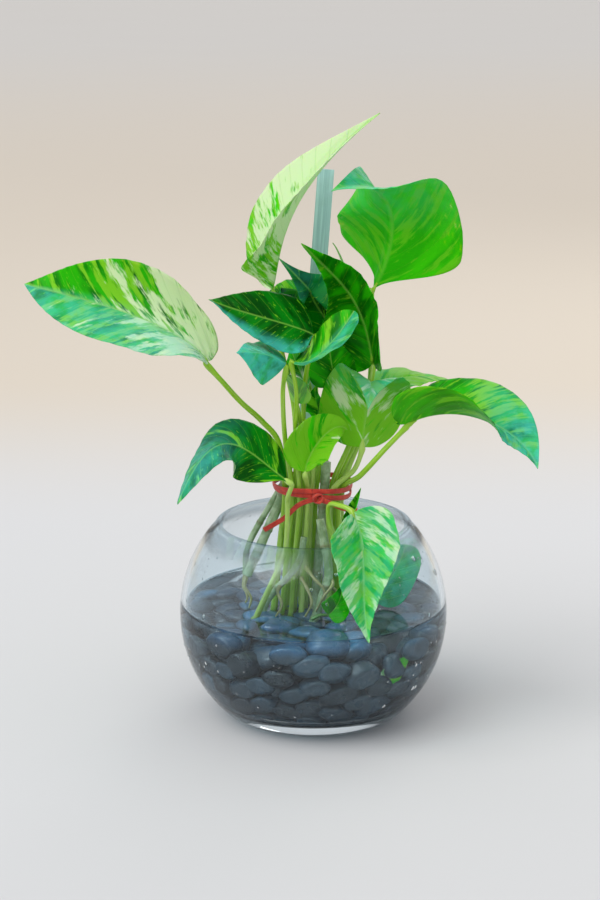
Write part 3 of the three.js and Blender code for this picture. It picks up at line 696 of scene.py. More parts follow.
# %% Each leaf's finish and shape
# Each finish: green tones, share of cream (one value, or one for the base and one for the tip),
# share of lime, tone of the underside, and where the painted skylight sheen lies and how strong it is.
PALE_UNDER = tone(150, 195, 92)
GLOW_UNDER = tone(34, 168, 6)
FINISHES = {
    "far_left": (GREEN, (0.8, 0.3), 0.58, PALE_UNDER, ("left", 0.6)),
    "tall": (BRIGHT, (0.6, 0.9), 0.75, tone(130, 210, 60), ("none", 0)),
    "top_right": (BRIGHT, 0.14, 0.5, tone(50, 190, 2), ("tip", 0.6)),
    "dark_high": (GREEN, 0.04, 0.3, GLOW_UNDER, ("none", 0)),
    "dark_back": (NIGHT, 0.1, 0.25, GLOW_UNDER, ("tip", 0.3)),
    "cupped": (NIGHT, 0.06, 0.2, GLOW_UNDER, ("left_edge", 0.85)),
    "front_teal": (GREEN, 0.05, 0.3, PALE_UNDER, ("all", 1.0)),
    # raised: its blue-green underside tone is a green underside with painted skylight sheen in it.
    "raised": (GREEN, 0.3, 0.5, tone(30, 160, 100), ("right", 0.6)),
    "upright_small": (GREEN, 0.02, 0.2, GLOW_UNDER, ("none", 0)),
    "broad": (BRIGHT, 0.54, 0.8, tone(128, 190, 52), ("tip", 0.6)),
    "right_arch": (GREEN, 0.24, 0.5, tone(84, 172, 24), ("tip", 0.9)),
    "right_back": (BRIGHT, 0.4, 0.8, PALE_UNDER, ("base", 0.3)),
    "left_drooping": (NIGHT, 0.24, 0.35, PALE_UNDER, ("tip", 0.6)),
    "pale_middle": (BRIGHT, 0.4, 0.85, tone(160, 205, 80), ("none", 0)),
    "pale_hanging": (GREEN, 0.3, 0.6, tone(150, 180, 120), ("none", 0)),
    "left_of_broad": (GREEN, 0.2, 0.5, PALE_UNDER, ("none", 0)),
    "behind_broad": (GREEN, 0.45, 0.7, PALE_UNDER, ("edge", 0.4)),
    "inner_strip": (GREEN, 0.45, 0.4, PALE_UNDER, ("none", 0)),
    "back_left": (GREEN, 0.35, 0.6, PALE_UNDER, ("none", 0)),
    "front_hanging": (BRIGHT, (0.6, 0.5), 0.6, PALE_UNDER, ("all", 0.42)),
    "rolled": (GREEN, 0.3, 0.4, PALE_UNDER, ("none", 0)),
    # inside_right: its blue-green underside tone is a green underside with painted skylight sheen in it.
    "inside_right": (GREEN, 0.05, 0.2, tone(40, 150, 110), ("all", 0.6)),
    "low_centre": (GREEN, 0.05, 0.3, GLOW_UNDER, ("none", 0)),
    "fragment": (BRIGHT, 0.5, 0.6, PALE_UNDER, ("none", 0)),
}


def build_leaves():
    for number, (name, leaf) in enumerate(LEAVES.items()):
        tones, cream, lime, under, painted_sheen = FINISHES[name]
        cream = cream if isinstance(cream, tuple) else (cream, cream)
        under_share = max(0.05, 0.65 - 0.55 * sum(cream))
        material = leaf_material(f"leaf_{name}", tones, cream, lime, under, under_share,
                                 midrib_length(leaf))
        build_leaf(f"leaf_{name}", leaf, material, painted_sheen, 1.7 * number + 0.6)


build_leaves()
print("blades built:", len(LEAVES), "with", ROWS * COLUMNS * 2, "points each")

# %% [markdown]
# ## Leaf stalks
# A stalk is round and fleshy, thinner towards its leaf, with a shallow channel on its upper side
# and a slightly swollen knee just below the blade. Swept tubes suit it. The colour runs from
# lime at the top to a paler green down in the bunch, with fine lengthwise lines.

# %% Stalk material
def stalk_material(name, high, low, line_strength=0.35):
    material, g, shader = new_material(name, Subsurface_Weight=0.2, Subsurface_Scale=0.0015,
                                       Coat_Weight=0.1)
    shader.inputs["Subsurface Radius"].default_value = (0.7, 1.0, 0.25)
    run = g.stored("stalk_place", 1)
    along, around, seed = g.parts(run)
    lines = g.noise(g.vector(g.math("MULTIPLY", along, 0.05), g.math("MULTIPLY", around, 1.6), seed), 1.0)
    blotch = g.noise(g.vector(g.math("MULTIPLY", along, 0.12), around, seed), 1.0, 4.0)
    height = g.parts(g.place())[2]
    colour = g.mix(g.ramp(height, 0.06, 0.14), low, high)
    colour = g.mix(g.math("MULTIPLY", g.ramp(lines, 0.45, 0.7), line_strength), colour, tone(214, 226, 150))
    colour = g.mix(g.math("MULTIPLY", g.ramp(blotch, 0.52, 0.75), 0.4), colour, tone(70, 120, 30))
    g.feed(shader.inputs["Base Color"], colour)
    g.feed(shader.inputs["Roughness"], g.ramp(blotch, 0.3, 0.7, 0.34, 0.5))
    g.feed(shader.inputs["Normal"], g.bump(lines, 0.3, 0.0003))
    return material


lime_stalk = stalk_material("lime_stalk", tone(150, 202, 30), tone(148, 194, 62))
pale_stalk = stalk_material("pale_stalk", tone(176, 212, 94), tone(168, 200, 98))
print("stalk finishes:", lime_stalk.name, pale_stalk.name)

# %% Build the stalks
TIE_Z, BED_Z, STRAND_FOOT_Z = 113, 49, 30
PALE_STALKS = ("broad", "right_back", "pale_middle", "left_drooping", "inner_strip", "left_of_broad")


def bundle_spot(spot, z):
    spread = (TIE_Z - z) / (TIE_Z - BED_Z)
    return (spot[0] * (1 + 0.22 * spread) - 3 * spread, spot[1] * (1 + 0.2 * spread), z)


def stalk_route(leaf):
    origin, up, _ = midrib_frame(leaf, np.array([0.0, 0.05]))
    forward = unit(origin[1] - origin[0])
    joint = origin[1] - 0.55 * up[1]
    knee = origin[0] - 0.4 * forward - 0.9 * up[0]
    neck = origin[0] - 1.7 * forward - 1.6 * up[0]
    foot = leaf.get("foot") or [bundle_spot(leaf["tie"], 85), bundle_spot(leaf["tie"], STRAND_FOOT_Z)]
    return [joint, knee, neck, *leaf["stalk"], (*leaf["tie"], TIE_Z), *foot]


def stalk_section(sides=14, channel=0.2):
    """Round, with a shallow channel on top."""
    ring = circle(sides)
    angle = np.linspace(0, 2 * math.pi, sides, endpoint=False)
    dip = channel * np.exp(-((angle - math.pi / 2) / 0.5) ** 2)
    return ring * (1 - dip)[:, None]


def build_strand(name, points, radii, material, seed, sides=14, channel=0.2, count=90):
    path = smooth_path(points, count)
    section = stalk_section(sides, channel)
    shape, faces = sweep(path, section, radii)
    piece = add_piece(name, shape, faces, material, [name])
    run = np.concatenate([[0], np.cumsum(np.linalg.norm(np.diff(path, axis=0), axis=1))])
    around = np.tile(2.4 * np.abs(np.linspace(-1, 1, sides)), count)
    store(piece, "stalk_place", np.stack([np.repeat(run, sides), around,
                                          np.full(count * sides, seed)], 1))
    return piece


def stalk_radii(count, leaf):
    share = np.linspace(0, 1, count)
    scale = 0.85 + 0.35 * min(1, leaf["half"] / 26)
    slim = scale * (0.98 + 0.5 * share)
    knee = 0.3 * scale * np.exp(-((share - 0.045) / 0.02) ** 2)
    tip = np.clip(share / 0.02, 0.35, 1)
    return (slim + knee) * tip


def build_stalks():
    made = 0
    for number, (name, leaf) in enumerate(LEAVES.items()):
        if "stalk" not in leaf:
            continue
        material = pale_stalk if name in PALE_STALKS else lime_stalk
        build_strand(f"petiole_{name}", stalk_route(leaf), stalk_radii(90, leaf), material,
                     4.1 * number)
        made += 1
    return made


print("stalks built:", build_stalks())

# %% [markdown]
# ## Vine stems and roots
# The thicker pieces are lengths of vine. A vine is ringed by a low node every few centimetres,
# and its cut end is flat. The rings come from a bump in the radius along the sweep, and the same
# bump is stored on the points, so that the bark can be browner there.

# %% Vine material
def vine_material():
    material, g, shader = new_material("vine_bark", Subsurface_Weight=0.1, Subsurface_Scale=0.001)
    along, around, seed = g.parts(g.stored("stalk_place", 1))
    lines = g.noise(g.vector(g.math("MULTIPLY", along, 0.09), g.math("MULTIPLY", around, 1.4), seed), 1.0)
    patch = g.noise(g.place(), 190.0, 4.0)
    colour = g.mix(g.ramp(patch, 0.38, 0.62), tone(128, 156, 112), tone(176, 198, 160))
    colour = g.mix(g.math("MULTIPLY", g.ramp(lines, 0.5, 0.72), 0.5), colour, tone(98, 128, 62))
    colour = g.mix(g.math("MULTIPLY", g.stored("node_ring"), 0.55), colour, tone(120, 104, 66))
    g.feed(shader.inputs["Base Color"], colour)
    g.feed(shader.inputs["Roughness"], g.ramp(patch, 0.3, 0.7, 0.42, 0.62))
    g.feed(shader.inputs["Normal"], g.bump(g.math("ADD", lines, patch), 0.4, 0.0004))
    return material


vine_bark = vine_material()

# %% Build the vines
VINES = {
    "stem_left": ([(-13, -1.5, 122), (-15.2, -3.5, 110), (-25, -5.5, 87), (-32, -7, 71)], 2.3),
    "stem_left_thin": ([(-10.5, 3, 125), (-15.5, 3, 113), (-31, 2, 85), (-33, 1, 69)], 1.5),
    "stem_front": ([(3, -18.8, 103), (5, -20.8, 92), (7, -24, 77), (2.5, -26, 62), (-2, -27, 46)], 2.1),
    "stem_centre": ([(6, -8, 128), (5, -8.5, 113), (1, -11, 62), (0.5, -11, 30)], 2.2),
    "stem_side": ([(-4.5, -19, 94), (-8, -20, 80), (-22, -18.5, 62), (-25, -18, 46)], 1.6),
}


def build_vine(name, points, radius, seed):
    count, sides = 110, 18
    share = np.linspace(0, 1, count)
    rings = sum(np.exp(-((share - at) / 0.012) ** 2) for at in (0.22, 0.55, 0.83))
    radii = radius * (1 + 0.16 * rings + 0.05 * np.sin(share * 19 + seed))
    piece = build_strand(name, points, radii, vine_bark, seed, sides, 0.0, count)
    store(piece, "node_ring", np.repeat(np.clip(rings, 0, 1), sides))


for seed, (name, (points, radius)) in enumerate(VINES.items()):
    build_vine(name, points, radius, 2.3 * seed)

root_finish = stalk_material("water_root", tone(96, 150, 60), tone(60, 120, 44), 0.2)
shoot_finish = stalk_material("young_shoot", tone(150, 205, 120), tone(150, 205, 120), 0.2)
build_strand("root_green", [(-1, -32.5, 57.5), (3, -32, 59.3), (8, -31, 58.8), (14, -30, 57.5)],
             0.95 - 0.5 * np.linspace(0, 1, 60), root_finish, 1.0, 12, 0.0, 60)
build_strand("shoot_tip", [(15, 18, 212), (14, 18, 219), (11, 18, 226), (9, 18, 229)],
             0.62 - 0.4 * np.linspace(0, 1, 60) ** 2, shoot_finish, 2.0, 12, 0.0, 60)
print("vines built:", len(VINES), "plus a root and a shoot tip")

# %% [markdown]
# Short young roots curl out of the vines just above and below the water. They are too small to
# be frame nodes, so they are one extra piece of thin tapering tubes.

# %% Build the young roots
YOUNG_ROOTS = [
    [(-4, -22, 80), (0, -27, 76), (5, -28, 70), (4, -26, 62)],
    [(6, -22, 78), (9, -26, 73), (5, -29, 68), (1, -28, 60)],
    [(-6, -20, 74), (-3, -25, 70), (-1, -28, 64), (-4, -27, 57)],
    [(8, -20, 70), (12, -24, 66), (10, -27, 62), (6, -28, 58)],
    [(-14, -18, 72), (-17, -22, 68), (-15, -25, 62), (-18, -24, 56)],
    [(-32, -7, 71), (-33, -9, 66), (-30, -11, 61), (-31, -12, 56)],
    [(-33, 1, 69), (-34, 0, 64), (-32, -3, 59), (-33, -4, 56)],
]


def build_young_roots():
    skin = stalk_material("root_skin", tone(196, 204, 150), tone(160, 156, 108), 0.3)
    builder, places = Builder(), []
    for number, points in enumerate(YOUNG_ROOTS):
        path = smooth_path(points, 40)
        wobble = 1 + 0.12 * np.sin(np.linspace(0, 19, 40) + number)
        shape, faces = sweep(path, circle(10), np.linspace(1.0, 0.45, 40) * wobble)
        builder.add(shape, faces)
        places.append(np.stack([np.repeat(np.arange(40.0), 10), np.tile(np.linspace(0, 2, 10), 40),
                                np.full(400, 1.3 * number)], 1))
    piece = builder.piece("young_roots", skin, "water_root")
    store(piece, "stalk_place", np.vstack(places))


build_young_roots()
print("young roots:", len(YOUNG_ROOTS))

# %% [markdown]
# ## Glass bowl
# The bowl is one turned shell: a thick base, a thin even wall and a rounded lip. A lathe gives
# it. Real glass lets light through to what stands in it, but a path tracer treats it as solid
# for shadows, so shadow and diffuse rays pass straight through, and so does a ray that has met
# many surfaces already. Camera rays see true refraction, most of all low down: towards the lip
# the glass bends what is behind it less and less.

# %% Glass materials
def clear_material(name, tint, ior, thin_above):
    material, g, shader = new_material(name, Transmission_Weight=1.0, IOR=ior, Roughness=0.0,
                                       Base_Color=tint)
    path = g.node("ShaderNodeLightPath")
    passing = g.math("MAXIMUM", path.outputs["Is Shadow Ray"], path.outputs["Is Diffuse Ray"])
    passing = g.math("MAXIMUM", passing, g.math("GREATER_THAN", path.outputs["Ray Depth"], 6.5))
    height = g.parts(g.place())[2]
    thin = g.ramp(height, thin_above - 0.008, thin_above, 0.0, 0.65)
    passing = g.math("MAXIMUM", passing, thin)
    through = g.node("ShaderNodeBsdfTransparent")
    through.inputs[0].default_value = tint
    blend = g.node("ShaderNodeMixShader")
    g.feed(blend.inputs[0], passing)
    g.feed(blend.inputs[1], shader.outputs[0])
    g.feed(blend.inputs[2], through.outputs[0])
    g.feed(material.node_tree.nodes["Material Output"].inputs[0], blend.outputs[0])
    return material, g, shader


bowl_glass, bowl_graph, bowl_shader = clear_material("bowl_glass", tone(238, 247, 251), 1.32, 0.093)
smear = bowl_graph.noise(bowl_graph.place(), 38.0, 4.0)
bowl_graph.feed(bowl_shader.inputs["Roughness"], bowl_graph.ramp(smear, 0.6, 0.85, 0.0, 0.02))
clear_water, water_graph, water_shader = clear_material("clear_water", tone(232, 242, 244), 1.333, 0.2)
ring_noise = water_graph.noise(water_graph.place(), 60.0, 2.0)
water_graph.feed(water_shader.inputs["Normal"], water_graph.bump(ring_noise, 0.12, 0.0004))
print("clear finishes:", bowl_glass.name, clear_water.name)

# %% Build the bowl
BOWL_RADIUS, BOWL_CENTRE_Z, WALL = 65.0, 50.8, 2.6
RIM_Z, FOOT_RADIUS, BASE_GLASS, WATER_Z = 95.2, 36.3, 8.0, 56.0


def sphere_radius(z, radius):
    return math.sqrt(max(radius**2 - (z - BOWL_CENTRE_Z) ** 2, 0))


def lathe(profile, sides):
    """Turns an outline that starts and ends on the axis into a closed solid."""
    angle = np.linspace(0, 2 * math.pi, sides, endpoint=False)
    rings = [np.stack([r * np.cos(angle), r * np.sin(angle), np.full(sides, z)], 1)
             for r, z in profile[1:-1]]
    points = np.vstack(rings + [[(0, 0, profile[0][1])], [(0, 0, profile[-1][1])]])
    faces = grid_faces(len(rings), sides, wrap=True)
    first, last, top = len(points) - 2, len(points) - 1, (len(rings) - 1) * sides
    for k in range(sides):
        j = (k + 1) % sides
        faces.append([first, j, k])
        faces.append([last, top + k, top + j])
    return points, faces


def bowl_profile():
    inner = BOWL_RADIUS - WALL
    profile = [(0, 0.9), (24, 0.8), (33, 0.35), (FOOT_RADIUS - 1.1, 0), (FOOT_RADIUS, 0), (38.2, 0.7)]
    profile += [(sphere_radius(z, BOWL_RADIUS), z) for z in np.linspace(3, RIM_Z, 44)]
    outer_lip, inner_lip = sphere_radius(RIM_Z, BOWL_RADIUS), sphere_radius(RIM_Z, inner)
    middle, half = (outer_lip + inner_lip) / 2, (outer_lip - inner_lip) / 2
    for step in range(1, 12):
        turn = math.pi * step / 12
        profile.append((middle + half * math.cos(turn), RIM_Z + 1.4 * math.sin(turn)))
    profile += [(sphere_radius(z, inner), z) for z in np.linspace(RIM_Z, 14, 40)]
    profile += [(47.2, 12.2), (44.0, 10.6), (39.0, 9.4), (30, 8.6), (15, 8.1), (0, BASE_GLASS)]
    return profile


def build_bowl():
    points, faces = lathe(bowl_profile(), 144)
    return add_piece("bowl_shell", points, faces, bowl_glass, ["glass_bowl"])


bowl = build_bowl()
print("bowl points:", len(bowl.data.vertices))

# %% [markdown]
# ## Water
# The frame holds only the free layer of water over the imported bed. Here the water fills every
# gap between the stones, as it really does, up to its level, and climbs the glass a little at
# its edge. It reaches a hair into the glass wall, because a gap of air between the two would
# shine like a mirror.

# %% Build the water
def water_profile():
    inner = BOWL_RADIUS - WALL + 0.12
    profile = [(0, BASE_GLASS - 0.1), (15, 8.0), (30, 8.5), (39.05, 9.3), (44.1, 10.5), (47.3, 12.1)]
    profile += [(sphere_radius(z, inner), z) for z in np.linspace(14, WATER_Z + 1.3, 30)]
    edge = sphere_radius(WATER_Z, inner)
    for inward in (0.5, 1.1, 1.9, 3.0, 4.5):
        profile.append((edge - inward, WATER_Z + 1.3 * math.exp(-inward / 1.1)))
    profile += [(r, WATER_Z) for r in (50, 40, 30, 20, 10)] + [(0, WATER_Z)]
    return profile


def build_water():
    points, faces = lathe(water_profile(), 128)
    return add_piece("still_water", points, faces, clear_water, ["water"])


water = build_water()
print("water points:", len(water.data.vertices))

# %% [markdown]
# ## River pebbles
# The bed is loose flat stones. They are packed by a small relaxation: balls dropped in the bowl
# push each other apart and back from the glass until they settle. Each ball then becomes a
# flattened, slightly lumpy stone of its own. The seed is fixed, so the bed is always the same.

# %% Pack the pebbles
PEBBLE_COUNT = 345
PEBBLE_RADIUS = (5.4, 7.6)
SETTLE_STEPS = 420
rng = np.random.default_rng(7)


def pack_pebbles():
    size = rng.uniform(*PEBBLE_RADIUS, PEBBLE_COUNT)
    angle = rng.uniform(0, 2 * math.pi, PEBBLE_COUNT)
    radius = 54 * np.sqrt(rng.uniform(0, 1, PEBBLE_COUNT))
    place = np.stack([radius * np.cos(angle), radius * np.sin(angle),
                      rng.uniform(14, 70, PEBBLE_COUNT)], 1)
    centre = np.array([0, 0, BOWL_CENTRE_Z])
    for _ in range(SETTLE_STEPS):
        gap = place[:, None] - place[None]
        far = np.linalg.norm(gap, axis=2) + 1e-6
        overlap = np.clip((size[:, None] + size[None]) * 0.94 - far, 0, None)
        np.fill_diagonal(overlap, 0)
        place += 0.32 * (gap / far[..., None] * overlap[..., None]).sum(1)
        place[:, 2] -= 0.22
        out = place - centre
        distance = np.linalg.norm(out, axis=1)
        limit = BOWL_RADIUS - WALL - 0.72 * size
        place = np.where((distance > limit)[:, None], centre + out * (limit / distance)[:, None], place)
        place[:, 2] = np.maximum(place[:, 2], BASE_GLASS + 1.2 + 0.62 * size)
    return place, size


pebble_place, pebble_size = pack_pebbles()
print("bed top:", round(float(np.percentile(pebble_place[:, 2], 97)), 1), "mm")


# %% Pebble material
def pebble_material():
    material, g, shader = new_material("river_pebble", Specular_IOR_Level=0.6, Coat_Weight=0.35,
                                       Coat_Roughness=0.12)
    here = g.place()
    each = g.stored("stone_tone")
    grain = g.noise(here, 900.0, 4.0)
    cloud = g.noise(here, 120.0, 3.0)
    band = g.noise(g.vector(*[g.math("MULTIPLY", p, s) for p, s in zip(g.parts(here), (60, 60, 260))]), 1.0)
    height = g.parts(here)[2]
    # Painted reflection: below the water line the stones are painted a greyer tone that stands in for the
    # haze of light reflected off the glass and water; above it they keep their blue.
    above_water_share = g.ramp(height, 0.047, 0.053)
    sunk = g.mix(each, tone(8, 18, 28), tone(74, 92, 106))
    # Painted shade: the submerged stones darken towards the bottom of the bowl.
    sunk = g.mix(g.ramp(height, 0.012, 0.036, 0.6, 0.0), sunk, tone(12, 30, 44))
    above_water_tone = g.mix(each, tone(14, 44, 72), tone(86, 142, 182))
    colour = g.mix(above_water_share, sunk, above_water_tone)
    colour = g.mix(g.math("MULTIPLY", g.ramp(cloud, 0.42, 0.7), 0.45), colour, tone(16, 22, 32))
    colour = g.mix(g.math("MULTIPLY", g.ramp(band, 0.6, 0.72), 0.2), colour, tone(120, 134, 146))
    colour = g.mix(g.math("MULTIPLY", g.ramp(grain, 0.6, 0.75), 0.25), colour, tone(130, 142, 154))
    g.feed(shader.inputs["Base Color"], colour)
    g.feed(shader.inputs["Roughness"], g.ramp(cloud, 0.3, 0.7, 0.2, 0.42))
    g.feed(shader.inputs["Normal"], g.bump(g.math("ADD", grain, cloud), 0.25, 0.0005))
    return material


# %% Build the stones
def ball(rows, cols):
    polar = np.linspace(0, math.pi, rows + 1)[1:-1]
    angle = np.linspace(0, 2 * math.pi, cols, endpoint=False)
    rings = np.stack([np.outer(np.sin(polar), np.cos(angle)), np.outer(np.sin(polar), np.sin(angle)),
                      np.outer(np.cos(polar), np.ones(cols))], -1).reshape(-1, 3)
    points = np.vstack([rings, [(0, 0, 1)], [(0, 0, -1)]])
    faces = grid_faces(rows - 1, cols, wrap=True, flip=True)
    top, low, last = len(rings), len(rings) + 1, (rows - 2) * cols
    for k in range(cols):
        j = (k + 1) % cols
        faces.append([top, k, j])
        faces.append([low, last + j, last + k])
    return points, faces


def turn_matrix(spin, tilt, lean):
    c, s = math.cos(spin), math.sin(spin)
    ct, st = math.cos(tilt), math.sin(tilt)
    cl, sl = math.cos(lean), math.sin(lean)
    about_z = np.array([(c, -s, 0), (s, c, 0), (0, 0, 1)])
    about_x = np.array([(1, 0, 0), (0, ct, -st), (0, st, ct)])
    about_y = np.array([(cl, 0, sl), (0, 1, 0), (-sl, 0, cl)])
    return about_z @ about_x @ about_y


def stone(ball_points, size, seed):
    """A flattened ball with softly squared sides and a few low bulges."""
    stretch = np.array([1.32, 1.02, 0.74]) * size * rng.uniform(0.93, 1.08, 3)
    p = ball_points
    bulge = 1 + 0.07 * np.sin(2.3 * p[:, 0] + seed) * np.cos(2.9 * p[:, 1] - seed)
    bulge += 0.05 * np.sin(4.1 * p[:, 1] + 2.2 * p[:, 2] + 3 * seed)
    boxy = np.sign(p) * np.abs(p) ** 0.9
    return boxy * bulge[:, None] * stretch


def build_pebbles():
    material = pebble_material()
    fine, coarse = ball(16, 26), ball(7, 10)
    builder, tones = Builder(), []
    for number, (place, size) in enumerate(zip(pebble_place, pebble_size)):
        wall = BOWL_RADIUS - WALL - np.linalg.norm(place - (0, 0, BOWL_CENTRE_Z))
        seen = wall < 14 or place[2] > 40
        points, faces = fine if seen else coarse
        outward = math.atan2(place[1], place[0])
        near_wall = wall < 10 and place[2] < 50
        spin = outward + math.pi / 2 + rng.uniform(-0.7, 0.7)
        tilt = (rng.uniform(-0.9, 0.9) if near_wall else rng.uniform(-0.35, 0.35))
        shape = stone(points, size, number) @ turn_matrix(spin, tilt, rng.uniform(-0.4, 0.4)).T
        shape = keep_inside(shape + place)
        builder.add(shape, faces)
        tones += [rng.uniform(0, 1)] * len(points)
    piece = builder.piece("river_pebbles", material, "river_pebble", ["pebble_bed"])
    store(piece, "stone_tone", tones)
    return piece


def keep_inside(points):
    """Flattens a stone where it rests against the glass."""
    centre = np.array([0, 0, BOWL_CENTRE_Z])
    out = points - centre
    distance = np.linalg.norm(out, axis=1, keepdims=True)
    limit = BOWL_RADIUS - WALL - 0.35
    points = np.where(distance > limit, centre + out * limit / np.maximum(distance, 1e-6), points)
    radius = np.linalg.norm(points[:, :2], axis=1)
    floor = BASE_GLASS + 0.4 + np.interp(radius, [0, 30, 39, 44, 48, 52], [0, 0.6, 1.4, 2.6, 4.4, 7.2])
    points[:, 2] = np.maximum(points[:, 2], floor)
    return points


pebbles = build_pebbles()
print("pebbles:", PEBBLE_COUNT, "stones,", len(pebbles.data.polygons), "faces")

# %% [markdown]
# ## Drops on the glass
# Small drops cling to the wall: on the inside above the water, where it condenses, and on the
# outside below, where the cold glass sweats. Each is a flattened bead half sunk in the wall.

# %% Build the drops
DROP_COUNT = 210


def build_drops():
    points, faces = ball(8, 12)
    builder = Builder()
    inner = BOWL_RADIUS - WALL
    for _ in range(DROP_COUNT):
        z = rng.choice([rng.uniform(16, 50), rng.uniform(57, 88)])
        angle = rng.uniform(0, 2 * math.pi)
        size = 0.35 + 0.9 * rng.uniform(0, 1) ** 3
        radius = sphere_radius(z, inner if z > WATER_Z else BOWL_RADIUS)
        middle = np.array([radius * math.cos(angle), radius * math.sin(angle), z])
        outward = unit(middle - (0, 0, BOWL_CENTRE_Z))
        middle = middle + outward * 0.05
        side = unit(np.cross(outward, (0, 0, 1)))
        tall = np.cross(side, outward)
        shape = points * size * (1.0, rng.uniform(1.0, 1.5), 0.5)
        builder.add(middle + shape[:, :1] * side + shape[:, 1:2] * tall + shape[:, 2:] * outward, faces)
    return builder.piece("glass_drops", clear_water, "water")


drops = build_drops()
print("drops:", len(drops.data.polygons), "faces")

# %% [markdown]
# ## Red tie
# A woven ribbon goes twice round the bunch, is knotted in front and leaves two tails. Each turn
# is a flat strip swept along a slightly wandering ring, which looks hand-tied where a single
# hoop would look like a washer.

# %% Ribbon material and shape
def ribbon_material():
    material, g, shader = new_material("red_ribbon", Sheen_Weight=0.25, Sheen_Roughness=0.5)
    along, across, _ = g.parts(g.stored("ribbon_place", 1))
    warp = g.math("SINE", g.math("MULTIPLY", along, 14.0))
    weft = g.math("SINE", g.math("MULTIPLY", across, 14.0))
    weave = g.math("MULTIPLY", warp, weft)
    fade = g.noise(g.place(), 300.0)
    colour = g.mix(g.ramp(fade, 0.35, 0.7), tone(206, 34, 20), tone(240, 72, 48))
    colour = g.mix(g.ramp(weave, -0.2, 0.9, 0.0, 0.3), colour, tone(240, 120, 96))
    g.feed(shader.inputs["Base Color"], colour)
    g.feed(shader.inputs["Roughness"], g.ramp(fade, 0.3, 0.7, 0.5, 0.75))
    g.feed(shader.inputs["Normal"], g.bump(weave, 0.5, 0.0002))
    return material


RIBBON_WIDTH, RIBBON_THICKNESS = 2.4, 0.4
TIE_HALF_X, TIE_HALF_Y = 18.5, 16.8


def ribbon_strip(builder, places, points, wide=RIBBON_WIDTH, thick=RIBBON_THICKNESS, count=60,
                 start_side=(0, 0, 1)):
    path = smooth_path(points, count)
    corner = np.array([(-0.5, -0.5), (-0.25, -0.5), (0, -0.5), (0.25, -0.5), (0.5, -0.5),
                       (0.5, 0.5), (0.25, 0.5), (0, 0.5), (-0.25, 0.5), (-0.5, 0.5)])
    section = corner * (wide, thick)
    section[:, 1] += 0.12 * np.cos(math.pi * corner[:, 0])
    shape, faces = sweep(path, section, np.ones(count), start_side)
    builder.add(shape, faces)
    run = np.concatenate([[0], np.cumsum(np.linalg.norm(np.diff(path, axis=0), axis=1))])
    places.append(np.stack([np.repeat(run, 10), np.tile(section[:, 0], count), np.zeros(10 * count)], 1))


def tie_ring(z, slope, extra):
    turns = np.linspace(-math.pi / 2, 1.5 * math.pi, 26)
    return [(-0.5 + (TIE_HALF_X + extra) * math.cos(t), (TIE_HALF_Y + extra) * math.sin(t),
             z - slope * math.cos(t) + 0.5 * math.sin(3 * t)) for t in turns]


TAILS = [
    [(1.5, -18.4, 113), (-7, -21, 110.5), (-14, -24.5, 105), (-23.5, -26, 99.6)],
    [(2, -18.4, 112.5), (8, -20, 111), (14, -20, 108.5), (20.5, -19, 107.2)],
]


def build_tie():
    builder, places = Builder(), []
    ribbon_strip(builder, places, tie_ring(TIE_Z, 1.9, 0.0), count=110)
    ribbon_strip(builder, places, tie_ring(TIE_Z + 2.6, 0.4, 0.5), count=110)
    for tail in TAILS:
        ribbon_strip(builder, places, tail)
    knot = [(2 + 2.3 * math.cos(t), -18.6 + 0.9 * math.sin(2 * t), TIE_Z + 1.9 * math.sin(t))
            for t in np.linspace(0, 2 * math.pi, 12)]
    ribbon_strip(builder, places, knot, wide=2.0, thick=0.9, count=40, start_side=(0, 1, 0))
    piece = builder.piece("tie_ribbon", ribbon_material(), "red_ribbon", ["red_tie"])
    store(piece, "ribbon_place", np.vstack(places))
    return piece


tie = build_tie()
print("tie faces:", len(tie.data.polygons))

# %% [markdown]
# ## Support slat
# The slat's shape in the frame is right: a long flat strip. It stays, and only gets rounded
# edges from a bevel modifier and a dull blue-grey finish with fine lengthwise grain.

# %% Slat finish
SLAT_LEAN = 0.0758


def slat_material():
    material, g, shader = new_material("support_slat", Specular_IOR_Level=0.35)
    x, y, z = g.parts(g.place())
    across = g.math("SUBTRACT", x, g.math("MULTIPLY", z, SLAT_LEAN))
    grain = g.noise(g.vector(g.math("MULTIPLY", across, 900.0), g.math("MULTIPLY", y, 200.0),
                             g.math("MULTIPLY", z, 14.0)), 1.0, 4.0)
    stain = g.noise(g.place(), 45.0, 3.0)
    colour = g.mix(g.ramp(grain, 0.35, 0.68), tone(160, 202, 204), tone(194, 232, 232))
    colour = g.mix(g.math("MULTIPLY", g.ramp(stain, 0.5, 0.75), 0.35), colour, tone(134, 168, 156))
    g.feed(shader.inputs["Base Color"], colour)
    g.feed(shader.inputs["Roughness"], g.ramp(stain, 0.3, 0.7, 0.45, 0.62))
    g.feed(shader.inputs["Normal"], g.bump(grain, 0.35, 0.0003))
    return material


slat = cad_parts["support_slat"]
slat.data.materials.clear()
slat.data.materials.append(slat_material())
bevel = slat.modifiers.new("soft_edges", "BEVEL")
bevel.width, bevel.segments, bevel.limit_method = 0.0004, 2, "ANGLE"
print("slat finish:", slat.data.materials[0].name)

# %% [markdown]
# ## Floor and light
# The bowl stands on a plain pale floor that runs far back, cool in front and warmer behind. The
# light is soft: a bright even sky, a wide sun from the upper left, and two panels whose main job
# is to be seen as highlights in the glass, the water and the waxy leaves.

